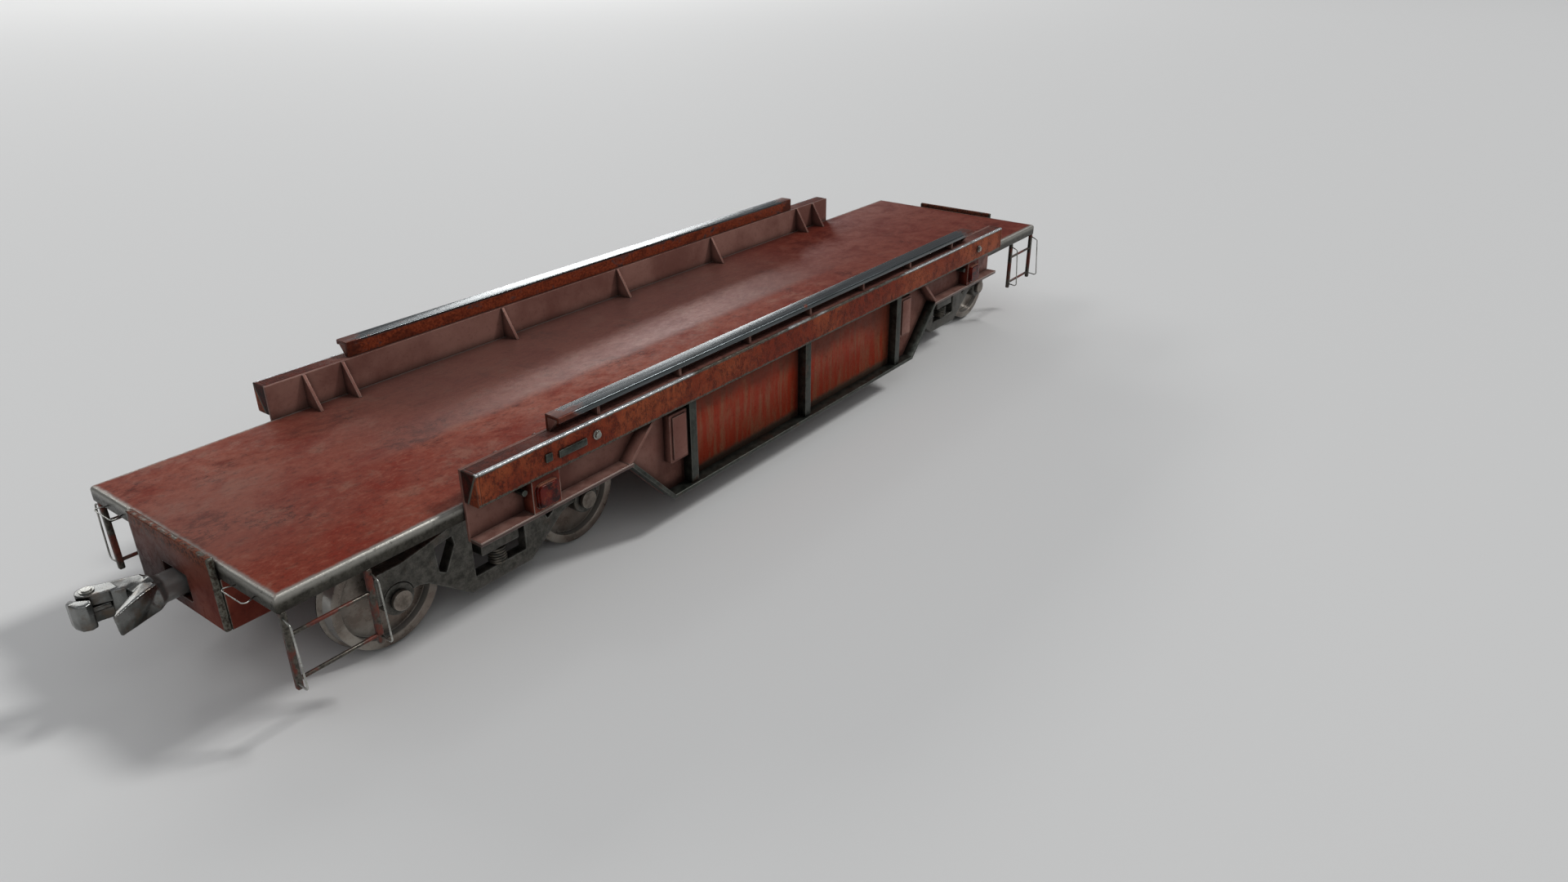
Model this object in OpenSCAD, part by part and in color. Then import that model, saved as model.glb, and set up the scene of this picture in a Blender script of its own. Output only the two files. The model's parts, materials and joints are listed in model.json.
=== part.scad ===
// Model flat car for 45 mm gauge track, millimetres.
// +X runs along the car, +Y to its left, +Z up; z = 0 is the bottom of the wheel flanges
// and x = y = 0 is the middle of the car.

/* [Deck] */
// Length of the deck over its ends
deck_l = 370; // [360:1:380]
// Width of the deck
deck_w = 82; // [80:0.5:84]
// Thickness of the deck
deck_t = 4.2; // [3.4:0.1:4.6]
// Height of the deck's top above the wheel flanges
deck_top = 38.5; // [38.2:0.1:40]
// Chamfer along the deck's top edges
deck_chamfer = 0.6; // [0.2:0.1:1]

/* [Side girders] */
// Length of the side girders
girder_l = 274; // [264:1:284]
// Height of the girders above the deck
girder_rise = 9.7; // [8.5:0.1:10]
// Thickness of the web plates
web_t = 1; // [0.8:0.1:1.2]
// Outward depth of the top beam
beam_d = 5.2; // [4.8:0.1:6]
// Height of the top beam
beam_h = 8.7; // [7.5:0.1:8.9]
// Wall of the top beam
beam_wall = 1; // [0.8:0.1:1.3]
// Height of the shelf's underside above the wheel flanges
shelf_z = 28.5; // [27.5:0.1:29]
// Outward depth of the bottom flange
shelf_d = 4.1; // [3.8:0.1:4.5]
// Thickness of the bottom flange
flange_t = 1.2; // [1:0.1:1.4]
// Height of the belly's underside above the wheel flanges
belly_z = 11.2; // [10:0.1:13]
// Half length of the belly where it leaves the shelf
belly_top_x = 85.1; // [82:0.1:88]
// Half length of the belly at its underside
belly_bottom_x = 68.7; // [66:0.1:70]
// Distance of the outer stiffeners from the middle
stiffener_x = 58.3; // [56:0.1:58.5]
// Distances of the deck gussets from the middle
gusset_x = [0, 53.9, 113.2, 125.5];
// Reach of a deck gusset over the deck
gusset_d = 6.5; // [5:0.1:7.5]

/* [Guide rails] */
// Length of each guide rail
guide_l = 220.6; // [210:0.1:230]
// Height of each guide rail above the top beam
guide_h = 4.7; // [4:0.1:5.5]
// Distance between the guide rail's brackets
bracket_pitch = 31.9; // [30:0.1:33]

/* [Lamps and fittings] */
// Distance of the lamps from the middle
lamp_x = 115.5; // [114:0.5:117]
// Width of a lamp housing
lamp_w = 9.2; // [8:0.1:10]

/* [Ends] */
// Half width of the end plates and draft boxes
end_hw = 18.5; // [17:0.1:20]
// Height of the underside of the centre sill and draft boxes
sill_z = 20.9; // [20.7:0.1:21.2]
// Length of the draft boxes
draft_l = 13; // [12.5:0.1:13.5]
// Thickness of the end plates
end_t = 1.6; // [1.2:0.1:2]

/* [Bogies] */
// Distance of the bogie pivots from the middle
bogie_x = 120.6; // [119:0.1:121]
// Distance between the axles of a bogie
wheelbase = 62; // [60:0.5:63]
// Radius of the wheel treads
tread_r = 15; // [14.5:0.1:15.1]
// Depth of the wheel flanges below the treads
flange_depth = 1; // [0.7:0.1:1.2]
// Distance between the backs of the wheels
back_to_back = 42; // [41:0.1:42.4]
// Radius of the kingpins
kingpin_r = 2; // [1.6:0.1:2.4]

/* [Couplers] */
// Height of the coupler's centre line
coupler_z = 27.5; // [27.2:0.1:27.8]
// Distance of the coupler pivots from the middle
pivot_x = 178; // [177.5:0.1:178.5]
// Radial clearance of every pin that something turns on
running = 0.05; // [0.02:0.01:0.08]

/* [Hidden] */
$fn = 48;

// Levels
deck_under = deck_top - deck_t;
web_top = deck_top + girder_rise;
beam_z = web_top - beam_h;
shelf_top = shelf_z + flange_t;
belly_top = belly_z + flange_t;
axle_z = tread_r + flange_depth;

// Positions across the car
web_y = deck_w / 2;
face_y = web_y + web_t;
beam_y = face_y + beam_d;
half_l = deck_l / 2;
half_girder = girder_l / 2;
half_guide = guide_l / 2;

// Bottom flange
belly_slope = atan2(shelf_z - belly_z, belly_top_x - belly_bottom_x);
mitre = flange_t * tan(belly_slope / 2);

// Guide rail and lamp sizes
guide_t = 0.9;
guide_w = 5.1;
guide_lip = 1.6;
bracket_t = 1;
bracket_d = 3;
lens_w = 7.2;
lens_h = 6.8;
lens_z = 34;
lens_r = 1.5;
lens_seat = 0.9;
lens_proud = 1.2;

// Wheelset sizes
axle_r = 1.7;
journal_r = 1.4;
wheel_w = 5.4;
wheel_back = back_to_back / 2;
wheel_face = wheel_back + wheel_w;
hub_r = 3.8;
hub_face = wheel_face + 0.2;
bearing_r = 4.3;
bearing_in = 26.9;
bearing_out = 31.2;
cap_r = 2.6;
cap_in = 31.5;
cap_out = 32.6;

// Bogie frame sizes
frame_in = 27.6;
frame_t = 3.4;
spring_y = frame_in + frame_t / 2;
spring_seat = 10.5;
spring_r = 2.6;
spring_wire = 0.55;
spring_turns = 4;
spring_gap = 0.1;
bolster_z = 15.4;
bolster_top = 19.6;
bolster_hw = 6.2;
bolster_l = 63;
bearer_y = 16;
centre_plate_z = 20;

// Coupler sizes, in a frame whose +X points away from the car
shank_w = 6.2;
shank_h = 6.4;
shank_cut = 6.8;
head_h = 7;
pivot_r = 1.8;
eye_r = 3.9;
knuckle_x = 202.5;
knuckle_y = -6.2;
knuckle_pin_r = 1.1;
lug_r = 3.1;
lug_t = 1.7;
knuckle_gap = 0.2;

red = [0.42, 0.14, 0.11];
brown = [0.44, 0.27, 0.23];
rust = [0.52, 0.2, 0.1];
steel = [0.3, 0.31, 0.29];
iron = [0.2, 0.21, 0.2];
bright = [0.62, 0.63, 0.62];
lens_red = [0.35, 0.03, 0.02];

// Everything on the right (-Y) side is drawn there, and turned half a turn for the left.
module left_side() {
    rotate([0, 0, 180])
        children();
}

module both_sides() {
    children();
    left_side()
        children();
}

module both_ends() {
    children();
    mirror([1, 0, 0])
        children();
}

module four_corners() {
    both_ends()
        children();
    mirror([0, 1, 0])
        both_ends()
            children();
}

// A box given by its low and high corners.
module block(low, high) {
    translate(low)
        cube(high - low);
}

// An outline in X and Z, as a plate whose inner face is at distance y on the right side.
module plate_right(y, t) {
    translate([0, -y, 0])
        rotate([90, 0, 0])
            linear_extrude(t)
                children();
}

// An outline in Y and Z, swept along X from x.
module sweep_x(x, l) {
    translate([x, 0, 0])
        rotate([90, 0, 90])
            linear_extrude(l)
                children();
}

module rod_x(x, y, z, r, l) {
    translate([x, y, z])
        rotate([0, 90, 0])
            cylinder(r = r, h = l);
}

module rod_y(x, y, z, r, l) {
    translate([x, y, z])
        rotate([-90, 0, 0])
            cylinder(r = r, h = l);
}

// ---- Underframe

module deck_profile(half, h) {
    c = deck_chamfer;
    polygon([[-half, 0], [half, 0], [half, h - c], [half - c, h], [c - half, h], [-half, h - c]]);
}

module deck() {
    color(red)
        translate([0, 0, deck_under])
            intersection() {
                sweep_x(-half_l, deck_l)
                    deck_profile(deck_w / 2, deck_t);
                translate([0, deck_w / 2, 0])
                    rotate([90, 0, 0])
                        linear_extrude(deck_w)
                            deck_profile(half_l, deck_t);
            }
}

sill_hw = 7;
sill_wall = 1.2;
sill_end = half_l - draft_l;

module centre_sill() {
    color(brown)
        difference() {
            block([-sill_end, -sill_hw, sill_z], [sill_end, sill_hw, deck_under]);
            block(
                [-sill_end - 1, sill_wall - sill_hw, sill_z + sill_wall],
                [sill_end + 1, sill_hw - sill_wall, deck_under - sill_wall]
            );
        }
}

bearer_x = [0, 31, 62];
bearer_t = 1.4;
bearer_shallow = 5;

module cross_bearer(x) {
    top = deck_under;
    sweep_x(x - bearer_t / 2, bearer_t)
        polygon([
            [-sill_hw, top], [-web_y, top], [-web_y, top - bearer_shallow], [-sill_hw, sill_z],
        ]);
}

// Tapered plates from the centre sill to the side girders.
module cross_bearers() {
    color(brown)
        both_sides()
            for (x = bearer_x) {
                cross_bearer(x);
                if (x > 0)
                    cross_bearer(-x);
            }
}

body_bolster_hw = 5;
body_bolster_z = 25;
body_bolster_high = 31;
body_bolster_knee = [20, 25];

module body_bolsters() {
    top = deck_under;
    low = body_bolster_z;
    high = body_bolster_high;
    color(brown)
        four_corners()
            sweep_x(bogie_x - body_bolster_hw, 2 * body_bolster_hw)
                polygon([
                    [sill_hw, top], [web_y, top], [web_y, high], [body_bolster_knee[1], high],
                    [body_bolster_knee[0], low], [sill_hw, low],
                ]);
}

body_pad_z = 23;
bearer_hw = 2;

module body_side_bearers() {
    color(iron)
        four_corners()
            block(
                [bogie_x - body_bolster_hw + 1, bearer_y - bearer_hw, body_pad_z],
                [bogie_x + body_bolster_hw - 1, bearer_y + bearer_hw, body_bolster_z]
            );
}

centre_plate_r = 6;

module centre_plates() {
    color(iron)
        both_ends()
            translate([bogie_x, 0, centre_plate_z])
                cylinder(r = centre_plate_r, h = sill_z - centre_plate_z);
}

kingpin_low = 13.2;
collar_r = 3.2;
collar_h = 1.4;
collar_rise = 0.4;

module kingpins() {
    color(steel)
        both_ends()
            translate([bogie_x, 0, kingpin_low])
                cylinder(r = kingpin_r, h = centre_plate_z - kingpin_low);
}

module kingpin_collars() {
    color(iron)
        both_ends()
            translate([bogie_x, 0, kingpin_low + collar_rise])
                difference() {
                    cylinder(r = collar_r, h = collar_h);
                    translate([0, 0, -1])
                        cylinder(r = kingpin_r, h = collar_h + 2);
                }
}

// ---- Side girders

module web_outline() {
    polygon([
        [-half_girder, shelf_z], [-belly_top_x, shelf_z], [-belly_bottom_x, belly_z],
        [belly_bottom_x, belly_z], [belly_top_x, shelf_z], [half_girder, shelf_z],
        [half_girder, web_top], [-half_girder, web_top],
    ]);
}

module side_web() {
    color(brown)
        plate_right(web_y, web_t)
            web_outline();
}

module top_beam() {
    l = girder_l - 2 * beam_wall;
    color(rust)
        difference() {
            block([-l / 2, -beam_y, beam_z], [l / 2, -face_y, web_top]);
            block(
                [-l, beam_wall - beam_y, beam_z + beam_wall],
                [l, -face_y - beam_wall, web_top - beam_wall]
            );
        }
}

module beam_end_caps() {
    color(rust)
        four_corners()
            block([half_girder - beam_wall, face_y, beam_z], [half_girder, beam_y, web_top]);
}

// The bottom flange follows the lower edge of the web in one bent strip.
module bottom_flange() {
    lower = [[half_girder, shelf_z], [belly_top_x, shelf_z], [belly_bottom_x, belly_z]];
    upper = [
        [belly_bottom_x - mitre, belly_top], [belly_top_x - mitre, shelf_top],
        [half_girder, shelf_top],
    ];
    color(steel)
        plate_right(face_y, shelf_d)
            polygon(concat(
                lower,
                [for (i = [2:-1:0]) [-lower[i][0], lower[i][1]]],
                [for (i = [2:-1:0]) [-upper[i][0], upper[i][1]]],
                upper
            ));
}

partition_foot = 84.9;
partition_head = 74.6;
partition_t = 1.4;

module belly_partitions() {
    color(brown)
        both_sides()
            plate_right(face_y, shelf_d)
                for (s = [-1, 1])
                    polygon([
                        [s * partition_foot, shelf_top],
                        [s * (partition_foot + partition_t), shelf_top],
                        [s * (partition_head + partition_t), beam_z],
                        [s * partition_head, beam_z],
                    ]);
}

stiffener_w = 3;
stiffener_d = 3.2;

module web_stiffeners() {
    color(steel)
        both_sides()
            for (x = [-stiffener_x, 0, stiffener_x])
                block(
                    [x - stiffener_w / 2, -face_y - stiffener_d, belly_top],
                    [x + stiffener_w / 2, -face_y, beam_z]
                );
}

gusset_t = 1;
gusset_tip = 0.5;

module deck_gusset(x) {
    sweep_x(x - gusset_t / 2, gusset_t)
        polygon([
            [-web_y, deck_top], [gusset_d - web_y, deck_top],
            [gusset_tip - web_y, web_top], [-web_y, web_top],
        ]);
}

module deck_gussets() {
    color(brown)
        both_sides()
            for (x = gusset_x) {
                deck_gusset(x);
                if (x > 0)
                    deck_gusset(-x);
            }
}

// ---- Guide rails

module guide_rail() {
    z1 = web_top + guide_h;
    y0 = face_y;
    y1 = face_y + guide_w;
    color(steel)
        sweep_x(-half_guide, guide_l)
            polygon([
                [-y0, web_top], [-y0, z1], [0.3 - y1, z1], [-y1, z1 - 0.4], [-y1, z1 - guide_lip],
                [guide_t - y1, z1 - guide_lip], [guide_t - y1, z1 - guide_t],
                [-y0 - guide_t, z1 - guide_t], [-y0 - guide_t, web_top],
            ]);
}

module guide_brackets() {
    y0 = -face_y - guide_t;
    z1 = web_top + guide_h - guide_t;
    end_reach = guide_w - 2 * guide_t;
    color(brown)
        both_sides() {
            for (i = [-3:3])
                block(
                    [i * bracket_pitch - bracket_t / 2, y0 - bracket_d, web_top],
                    [i * bracket_pitch + bracket_t / 2, y0, z1]
                );
            for (x = [-half_guide, half_guide - bracket_t])
                sweep_x(x, bracket_t)
                    polygon([[y0, web_top], [y0 - 0.4, web_top], [y0 - end_reach, z1], [y0, z1]]);
        }
}

// ---- Boxes and lamps on the girders

box_in = 60.4;
box_w = 7.6;
box_low = 21.9;
box_high = 37.1;
box_d = 2.6;
door_inset = 0.9;
door_t = 0.5;

module side_boxes() {
    color(brown)
        both_sides()
            both_ends()
                block([box_in, -face_y - box_d, box_low], [box_in + box_w, -face_y, box_high]);
}

module side_box_doors() {
    y = face_y + box_d;
    color(red)
        both_sides()
            both_ends()
                block(
                    [box_in + door_inset, -y - door_t, box_low + door_inset],
                    [box_in + box_w - door_inset, -y, box_high - door_inset]
                );
}

lamp_d = 4;

// A rounded square in X and Z, standing out of the right side from distance y.
module lens_block(y, t, grow) {
    w = lens_w / 2 - lens_r;
    h = lens_h / 2 - lens_r;
    r = lens_r + grow;
    plate_right(y, t)
        translate([0, lens_z]) {
            square([2 * w, 2 * (h + r)], center = true);
            square([2 * (w + r), 2 * h], center = true);
            for (a = [-1, 1], b = [-1, 1])
                translate([a * w, b * h])
                    circle(r = r);
        }
}

module lamp_housings() {
    y = face_y + lamp_d;
    color(brown)
        both_sides()
            for (x = [-lamp_x, lamp_x])
                translate([x, 0, 0])
                    difference() {
                        block([-lamp_w / 2, -y, shelf_top], [lamp_w / 2, -face_y, beam_z]);
                        lens_block(y - lens_seat, lens_seat + 1, 0);
                    }
}

module lamp_lenses() {
    y = face_y + lamp_d - lens_seat;
    color(lens_red)
        both_sides()
            for (x = [-lamp_x, lamp_x])
                translate([x, 0, 0]) {
                    lens_block(y, lens_seat + lens_proud - 0.5, 0);
                    lens_block(y, lens_seat + lens_proud, -0.5);
                }
}

stud_offset = 6.4;
stud_z = 36.4;
stud_r = 0.8;
stud_l = 3.4;

// One long stud beside each lamp, towards the same end of the car on one side.
module lamp_studs() {
    color(bright)
        both_sides()
            for (x = [-lamp_x, lamp_x])
                rod_y(x - stud_offset, -face_y - stud_l, stud_z, stud_r, stud_l);
}

washer_r = 1.3;
washer_t = 0.4;
bolt_head_r = 0.9;
bolt_head_h = 0.6;
bolt_z = 44;
bolt_x = [-98.4, 116.4];

// Two pads on each beam: low and high x, low and high z.
pads = [[-116, -113.8, 43, 45.2], [-111.6, -102.1, 42.6, 44.6]];
pad_t = 0.5;

module beam_bolts() {
    color(bright)
        both_sides()
            for (x = bolt_x)
                translate([x, 0, bolt_z]) {
                    rod_y(0, -beam_y - washer_t, 0, washer_r, washer_t);
                    rod_y(0, -beam_y - washer_t - bolt_head_h, 0, bolt_head_r, bolt_head_h);
                }
}

module beam_pads() {
    color(steel)
        both_sides()
            for (p = pads)
                block([p[0], -beam_y - pad_t, p[2]], [p[1], -beam_y, p[3]]);
}

// ---- Ends

slot_hw = 5.4;
slot_low = 23.9;
slot_high = 31.1;
lip_h = 1.5;

module end_plate() {
    color(red)
        difference() {
            block([half_l, -end_hw, sill_z], [half_l + end_t, end_hw, deck_top + lip_h]);
            block([half_l - 1, -slot_hw, slot_low], [half_l + end_t + 1, slot_hw, slot_high]);
        }
}

draft_wall = 1.4;
draft_floor = 1.2;

// A trough under each end of the deck: two sides, a floor and an inner end.
module draft_boxes() {
    x0 = half_l - draft_l;
    color(red)
        both_ends()
            difference() {
                block([x0, -end_hw, sill_z], [half_l, end_hw, deck_under]);
                block(
                    [x0 + draft_wall, draft_wall - end_hw, sill_z + draft_floor],
                    [half_l + 1, end_hw - draft_wall, deck_under + 1]
                );
            }
}

module coupler_pivot_pins() {
    color(steel)
        both_ends()
            translate([pivot_x, 0, sill_z + draft_floor])
                cylinder(r = pivot_r, h = deck_under - sill_z - draft_floor);
}

spacer_r = 3.2;
spacer_gap = 0.2;

// Rings that hold the couplers at their height.
module coupler_spacers() {
    z0 = sill_z + draft_floor;
    h = coupler_z - shank_h / 2 - spacer_gap - z0;
    color(iron)
        both_ends()
            translate([pivot_x, 0, z0])
                difference() {
                    cylinder(r = spacer_r, h = h);
                    translate([0, 0, -1])
                        cylinder(r = pivot_r, h = h + 2);
                }
}

post_x = [163.4, 183.7];
post_w = 1.5;
post_t = 1.5;
post_low = 14.2;
rung_r = 0.5;
rung_z = [16.6, 28];

module step_posts() {
    color(rust)
        four_corners()
            for (x = post_x)
                block([x - post_w / 2, web_y - post_t, post_low], [x + post_w / 2, web_y, deck_under]);
}

module step_rungs() {
    color(rust)
        four_corners()
            for (z = rung_z)
                rod_x(post_x[0] + post_w / 2, web_y - post_t / 2, z, rung_r, post_x[1] - post_x[0] - post_w);
}

wire_r = 0.28;
leg_r = 0.24;
handle_reach = 3.2;
handle_z = [16.2, 33];
handle_x = [163.1, 184.1];
iron_y = [25.3, 32.6];
iron_z = 35.6;
iron_reach = 2;

// An upright bar on two thinner legs beside each post.
module step_handles() {
    y = web_y + handle_reach;
    color(bright)
        four_corners()
            for (x = handle_x) {
                for (z = handle_z)
                    rod_y(x, web_y, z, leg_r, handle_reach);
                translate([x, y, handle_z[0] - wire_r])
                    cylinder(r = wire_r, h = handle_z[1] - handle_z[0] + 2 * wire_r);
            }
}

module grab_irons() {
    color(bright)
        four_corners() {
            for (y = iron_y)
                rod_x(half_l, y, iron_z, leg_r, iron_reach);
            rod_y(
                half_l + iron_reach, iron_y[0] - wire_r, iron_z, wire_r,
                iron_y[1] - iron_y[0] + 2 * wire_r
            );
        }
}

// ---- Bogies, drawn at the middle of the car and moved to their pivots

module at_bogie(s) {
    translate([s * bogie_x, 0, 0])
        children();
}

bearer_block_hw = 3;
bearer_gap = 0.4;

module bolster(s) {
    color(iron)
        at_bogie(s)
            difference() {
                union() {
                    block([-bolster_hw, -bolster_l / 2, bolster_z], [bolster_hw, bolster_l / 2, bolster_top]);
                    for (y = [-bearer_y, bearer_y])
                        block(
                            [-bearer_block_hw, y - bearer_hw, bolster_top],
                            [bearer_block_hw, y + bearer_hw, body_pad_z - bearer_gap]
                        );
                }
                translate([0, 0, bolster_z - 1])
                    cylinder(r = kingpin_r + running, h = bolster_top - bolster_z + 2);
            }
}

// Half of the side frame's outline, from the middle of its top to the middle of its foot.
frame_half = [
    [0, 28.5], [12.5, 28.5], [21.5, 26.4], [29, 25], [35.4, 25], [36.4, 24], [36.4, 16.5],
    [25, 16.5], [22.2, 15.6], [13.5, 8.8], [10, 6.2], [0, 6.2],
];
frame_window = [[14, 25.2], [19.2, 24.4], [18.8, 17.4], [16.9, 16.2], [13.6, 22.6]];
spring_window_hw = 8.4;
spring_window_top = 21.4;

module frame_outline() {
    difference() {
        for (s = [-1, 1])
            polygon([for (p = frame_half) [s * p[0], p[1]]]);
        for (s = [-1, 1]) {
            polygon([for (p = frame_window) [s * p[0], p[1]]]);
            translate([s * wheelbase / 2, axle_z])
                circle(r = bearing_r);
        }
        translate([-spring_window_hw, spring_seat])
            square([2 * spring_window_hw, spring_window_top - spring_seat]);
    }
}

module side_frames(s) {
    color(iron)
        at_bogie(s)
            both_sides()
                plate_right(frame_in, frame_t)
                    frame_outline();
}

// A coil spring is drawn as touching rings around a thin core.
module spring_coil(h) {
    pitch = (h - 2 * spring_wire) / spring_turns;
    rotate_extrude() {
        for (i = [0:spring_turns])
            translate([spring_r - spring_wire, spring_wire + i * pitch])
                circle(r = spring_wire, $fn = 24);
        translate([spring_r - 1.5 * spring_wire, spring_wire])
            square([spring_wire, h - 2 * spring_wire]);
    }
}

module springs(s) {
    color(steel)
        at_bogie(s)
            for (y = [-spring_y, spring_y])
                translate([0, y, spring_seat])
                    spring_coil(bolster_z - spring_seat - spring_gap);
}

module bearings(s) {
    color(iron)
        at_bogie(s)
            both_sides()
                for (x = [-wheelbase / 2, wheelbase / 2])
                    difference() {
                        rod_y(x, -bearing_out, axle_z, bearing_r, bearing_out - bearing_in);
                        rod_y(x, -bearing_out - 1, axle_z, journal_r + running, bearing_out - bearing_in + 2);
                    }
}

module at_axle(s, side) {
    translate([s * (bogie_x + side * wheelbase / 2), 0, axle_z])
        rotate([-90, 0, 0])
            children();
}

module axle(s, side) {
    color(steel)
        at_axle(s, side) {
            translate([0, 0, -hub_face])
                cylinder(r = axle_r, h = 2 * hub_face);
            translate([0, 0, -cap_in])
                cylinder(r = journal_r, h = 2 * cap_in);
            for (z = [-cap_out, cap_in])
                translate([0, 0, z])
                    cylinder(r = cap_r, h = cap_out - cap_in);
        }
}

wheel_rim = 2.6;
web_inset = 1.6;
plate_dish = 0.8;
plate_t = 1.6;
hub_back = 0.2;

module wheel_profile() {
    y0 = wheel_back;
    y1 = wheel_face;
    rim = tread_r - wheel_rim;
    mid = y0 + web_inset;
    tip = tread_r + flange_depth;
    polygon([
        [axle_r, y0 - hub_back], [hub_r, y0 - hub_back], [hub_r, mid + plate_dish], [rim, mid], [rim, y0],
        [tip - 0.4, y0], [tip, y0 + 0.4], [tip, y0 + 0.8], [tread_r + 0.2, y0 + 1.4],
        [tread_r, y0 + 2], [tread_r, y1], [rim, y1], [rim, mid + plate_t],
        [hub_r, mid + plate_dish + plate_t], [hub_r, hub_face], [axle_r, hub_face],
    ]);
}

module wheels(s, side) {
    color(iron)
        at_axle(s, side)
            for (m = [0, 1])
                mirror([0, 0, m])
                    rotate_extrude($fn = 96)
                        wheel_profile();
}

// ---- Couplers, drawn with +X pointing away from the car

module at_end(s) {
    rotate([0, 0, s > 0 ? 0 : 180])
        children();
}

module slab(z, h) {
    translate([0, 0, z])
        linear_extrude(h)
            children();
}

head_low = coupler_z - head_h / 2;
head_high = coupler_z + head_h / 2;

head_root = 189;

// A square bar with its corners cut, across the coupler.
module shank_outline() {
    translate([0, coupler_z])
        intersection() {
            square([shank_w, shank_h], center = true);
            rotate(45)
                square(shank_cut, center = true);
        }
}

module head_outline() {
    polygon([
        [188.5, -3.1], [191, -3.6], [194.5, -7], [198.6, -9.2], [199, -6.4], [199, -3],
        [197.6, -0.6], [197.8, 2.4], [199.6, 4.2], [203.2, 5.2], [203.9, 6.8], [203.2, 8.4],
        [199, 8], [194.5, 6], [191, 3.6], [188.5, 3.1],
    ]);
}

module coupler_body(s) {
    color(steel)
        at_end(s)
            difference() {
                union() {
                    sweep_x(pivot_x, head_root - pivot_x)
                        shank_outline();
                    translate([pivot_x, 0, coupler_z - shank_h / 2])
                        cylinder(r = eye_r, h = shank_h);
                    slab(head_low, head_h)
                        head_outline();
                    for (z = [head_low, head_high - lug_t])
                        slab(z, lug_t) {
                            translate([knuckle_x, knuckle_y])
                                circle(r = lug_r);
                            polygon([
                                [198.6, -9.2], [knuckle_x, knuckle_y - lug_r],
                                [knuckle_x, knuckle_y + lug_r], [199, -3.1],
                            ]);
                        }
                }
                translate([pivot_x, 0, sill_z])
                    cylinder(r = pivot_r + running, h = 20);
                translate([knuckle_x, knuckle_y, head_low - 1])
                    cylinder(r = knuckle_pin_r, h = head_h + 2);
            }
}

knuckle_disc_r = 2.9;
bulb_clear = 3.5;
bulb_trim = 0.3;

module bulb_outline() {
    polygon([
        [204.4, -9.3], [206.3, -8.6], [207.3, -6.4], [207.4, -3.6], [206.7, -1.5], [205, -0.7],
        [203.6, -1.3], [202.6, -2.2],
    ]);
}

module knuckle(s) {
    z0 = head_low + lug_t + knuckle_gap;
    z1 = head_high - lug_t - knuckle_gap;
    color(steel)
        at_end(s)
            difference() {
                union() {
                    slab(z0, z1 - z0) {
                        translate([knuckle_x, knuckle_y])
                            circle(r = knuckle_disc_r);
                        bulb_outline();
                    }
                    difference() {
                        slab(head_low + bulb_trim, head_h - 2 * bulb_trim)
                            bulb_outline();
                        translate([knuckle_x, knuckle_y, head_low - 1])
                            cylinder(r = bulb_clear, h = head_h + 2);
                    }
                }
                translate([knuckle_x, knuckle_y, head_low - 1])
                    cylinder(r = knuckle_pin_r + running, h = head_h + 2);
            }
}

pin_head_r = 1.7;
pin_head_h = 0.8;

module knuckle_pin(s) {
    color(bright)
        at_end(s)
            translate([knuckle_x, knuckle_y, head_low]) {
                cylinder(r = knuckle_pin_r, h = head_h);
                translate([0, 0, head_h])
                    cylinder(r = pin_head_r, h = pin_head_h);
            }
}

deck();
centre_sill();
cross_bearers();
body_bolsters();
body_side_bearers();
left_side() side_web();  // side_web_left
side_web();  // side_web_right
left_side() top_beam();  // top_beam_left
top_beam();  // top_beam_right
beam_end_caps();
left_side() bottom_flange();  // bottom_flange_left
bottom_flange();  // bottom_flange_right
belly_partitions();
web_stiffeners();
deck_gussets();
left_side() guide_rail();  // guide_rail_left
guide_rail();  // guide_rail_right
guide_brackets();
side_boxes();
side_box_doors();
lamp_housings();
lamp_lenses();
lamp_studs();
beam_bolts();
beam_pads();
end_plate();  // end_plate_front
left_side() end_plate();  // end_plate_rear
draft_boxes();
step_posts();
step_rungs();
step_handles();
grab_irons();
coupler_pivot_pins();
coupler_spacers();
centre_plates();
kingpins();
kingpin_collars();
bolster(1);  // bolster_front
side_frames(1);  // side_frames_front
springs(1);  // springs_front
bearings(1);  // bearings_front
axle(1, 1);  // axle_front_outer
wheels(1, 1);  // wheels_front_outer
axle(1, -1);  // axle_front_inner
wheels(1, -1);  // wheels_front_inner
bolster(-1);  // bolster_rear
side_frames(-1);  // side_frames_rear
springs(-1);  // springs_rear
bearings(-1);  // bearings_rear
axle(-1, 1);  // axle_rear_outer
wheels(-1, 1);  // wheels_rear_outer
axle(-1, -1);  // axle_rear_inner
wheels(-1, -1);  // wheels_rear_inner
coupler_body(1);  // coupler_front
knuckle(1);  // knuckle_front
knuckle_pin(1);  // knuckle_pin_front
coupler_body(-1);  // coupler_rear
knuckle(-1);  // knuckle_rear
knuckle_pin(-1);  // knuckle_pin_rear
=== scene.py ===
"""Looks of the model flat car: CAD nodes with worn finishes, and cast, bent and coiled pieces in mesh code.
Lengths are millimetres in the row frame unless a name says otherwise."""
import json
import math

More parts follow.
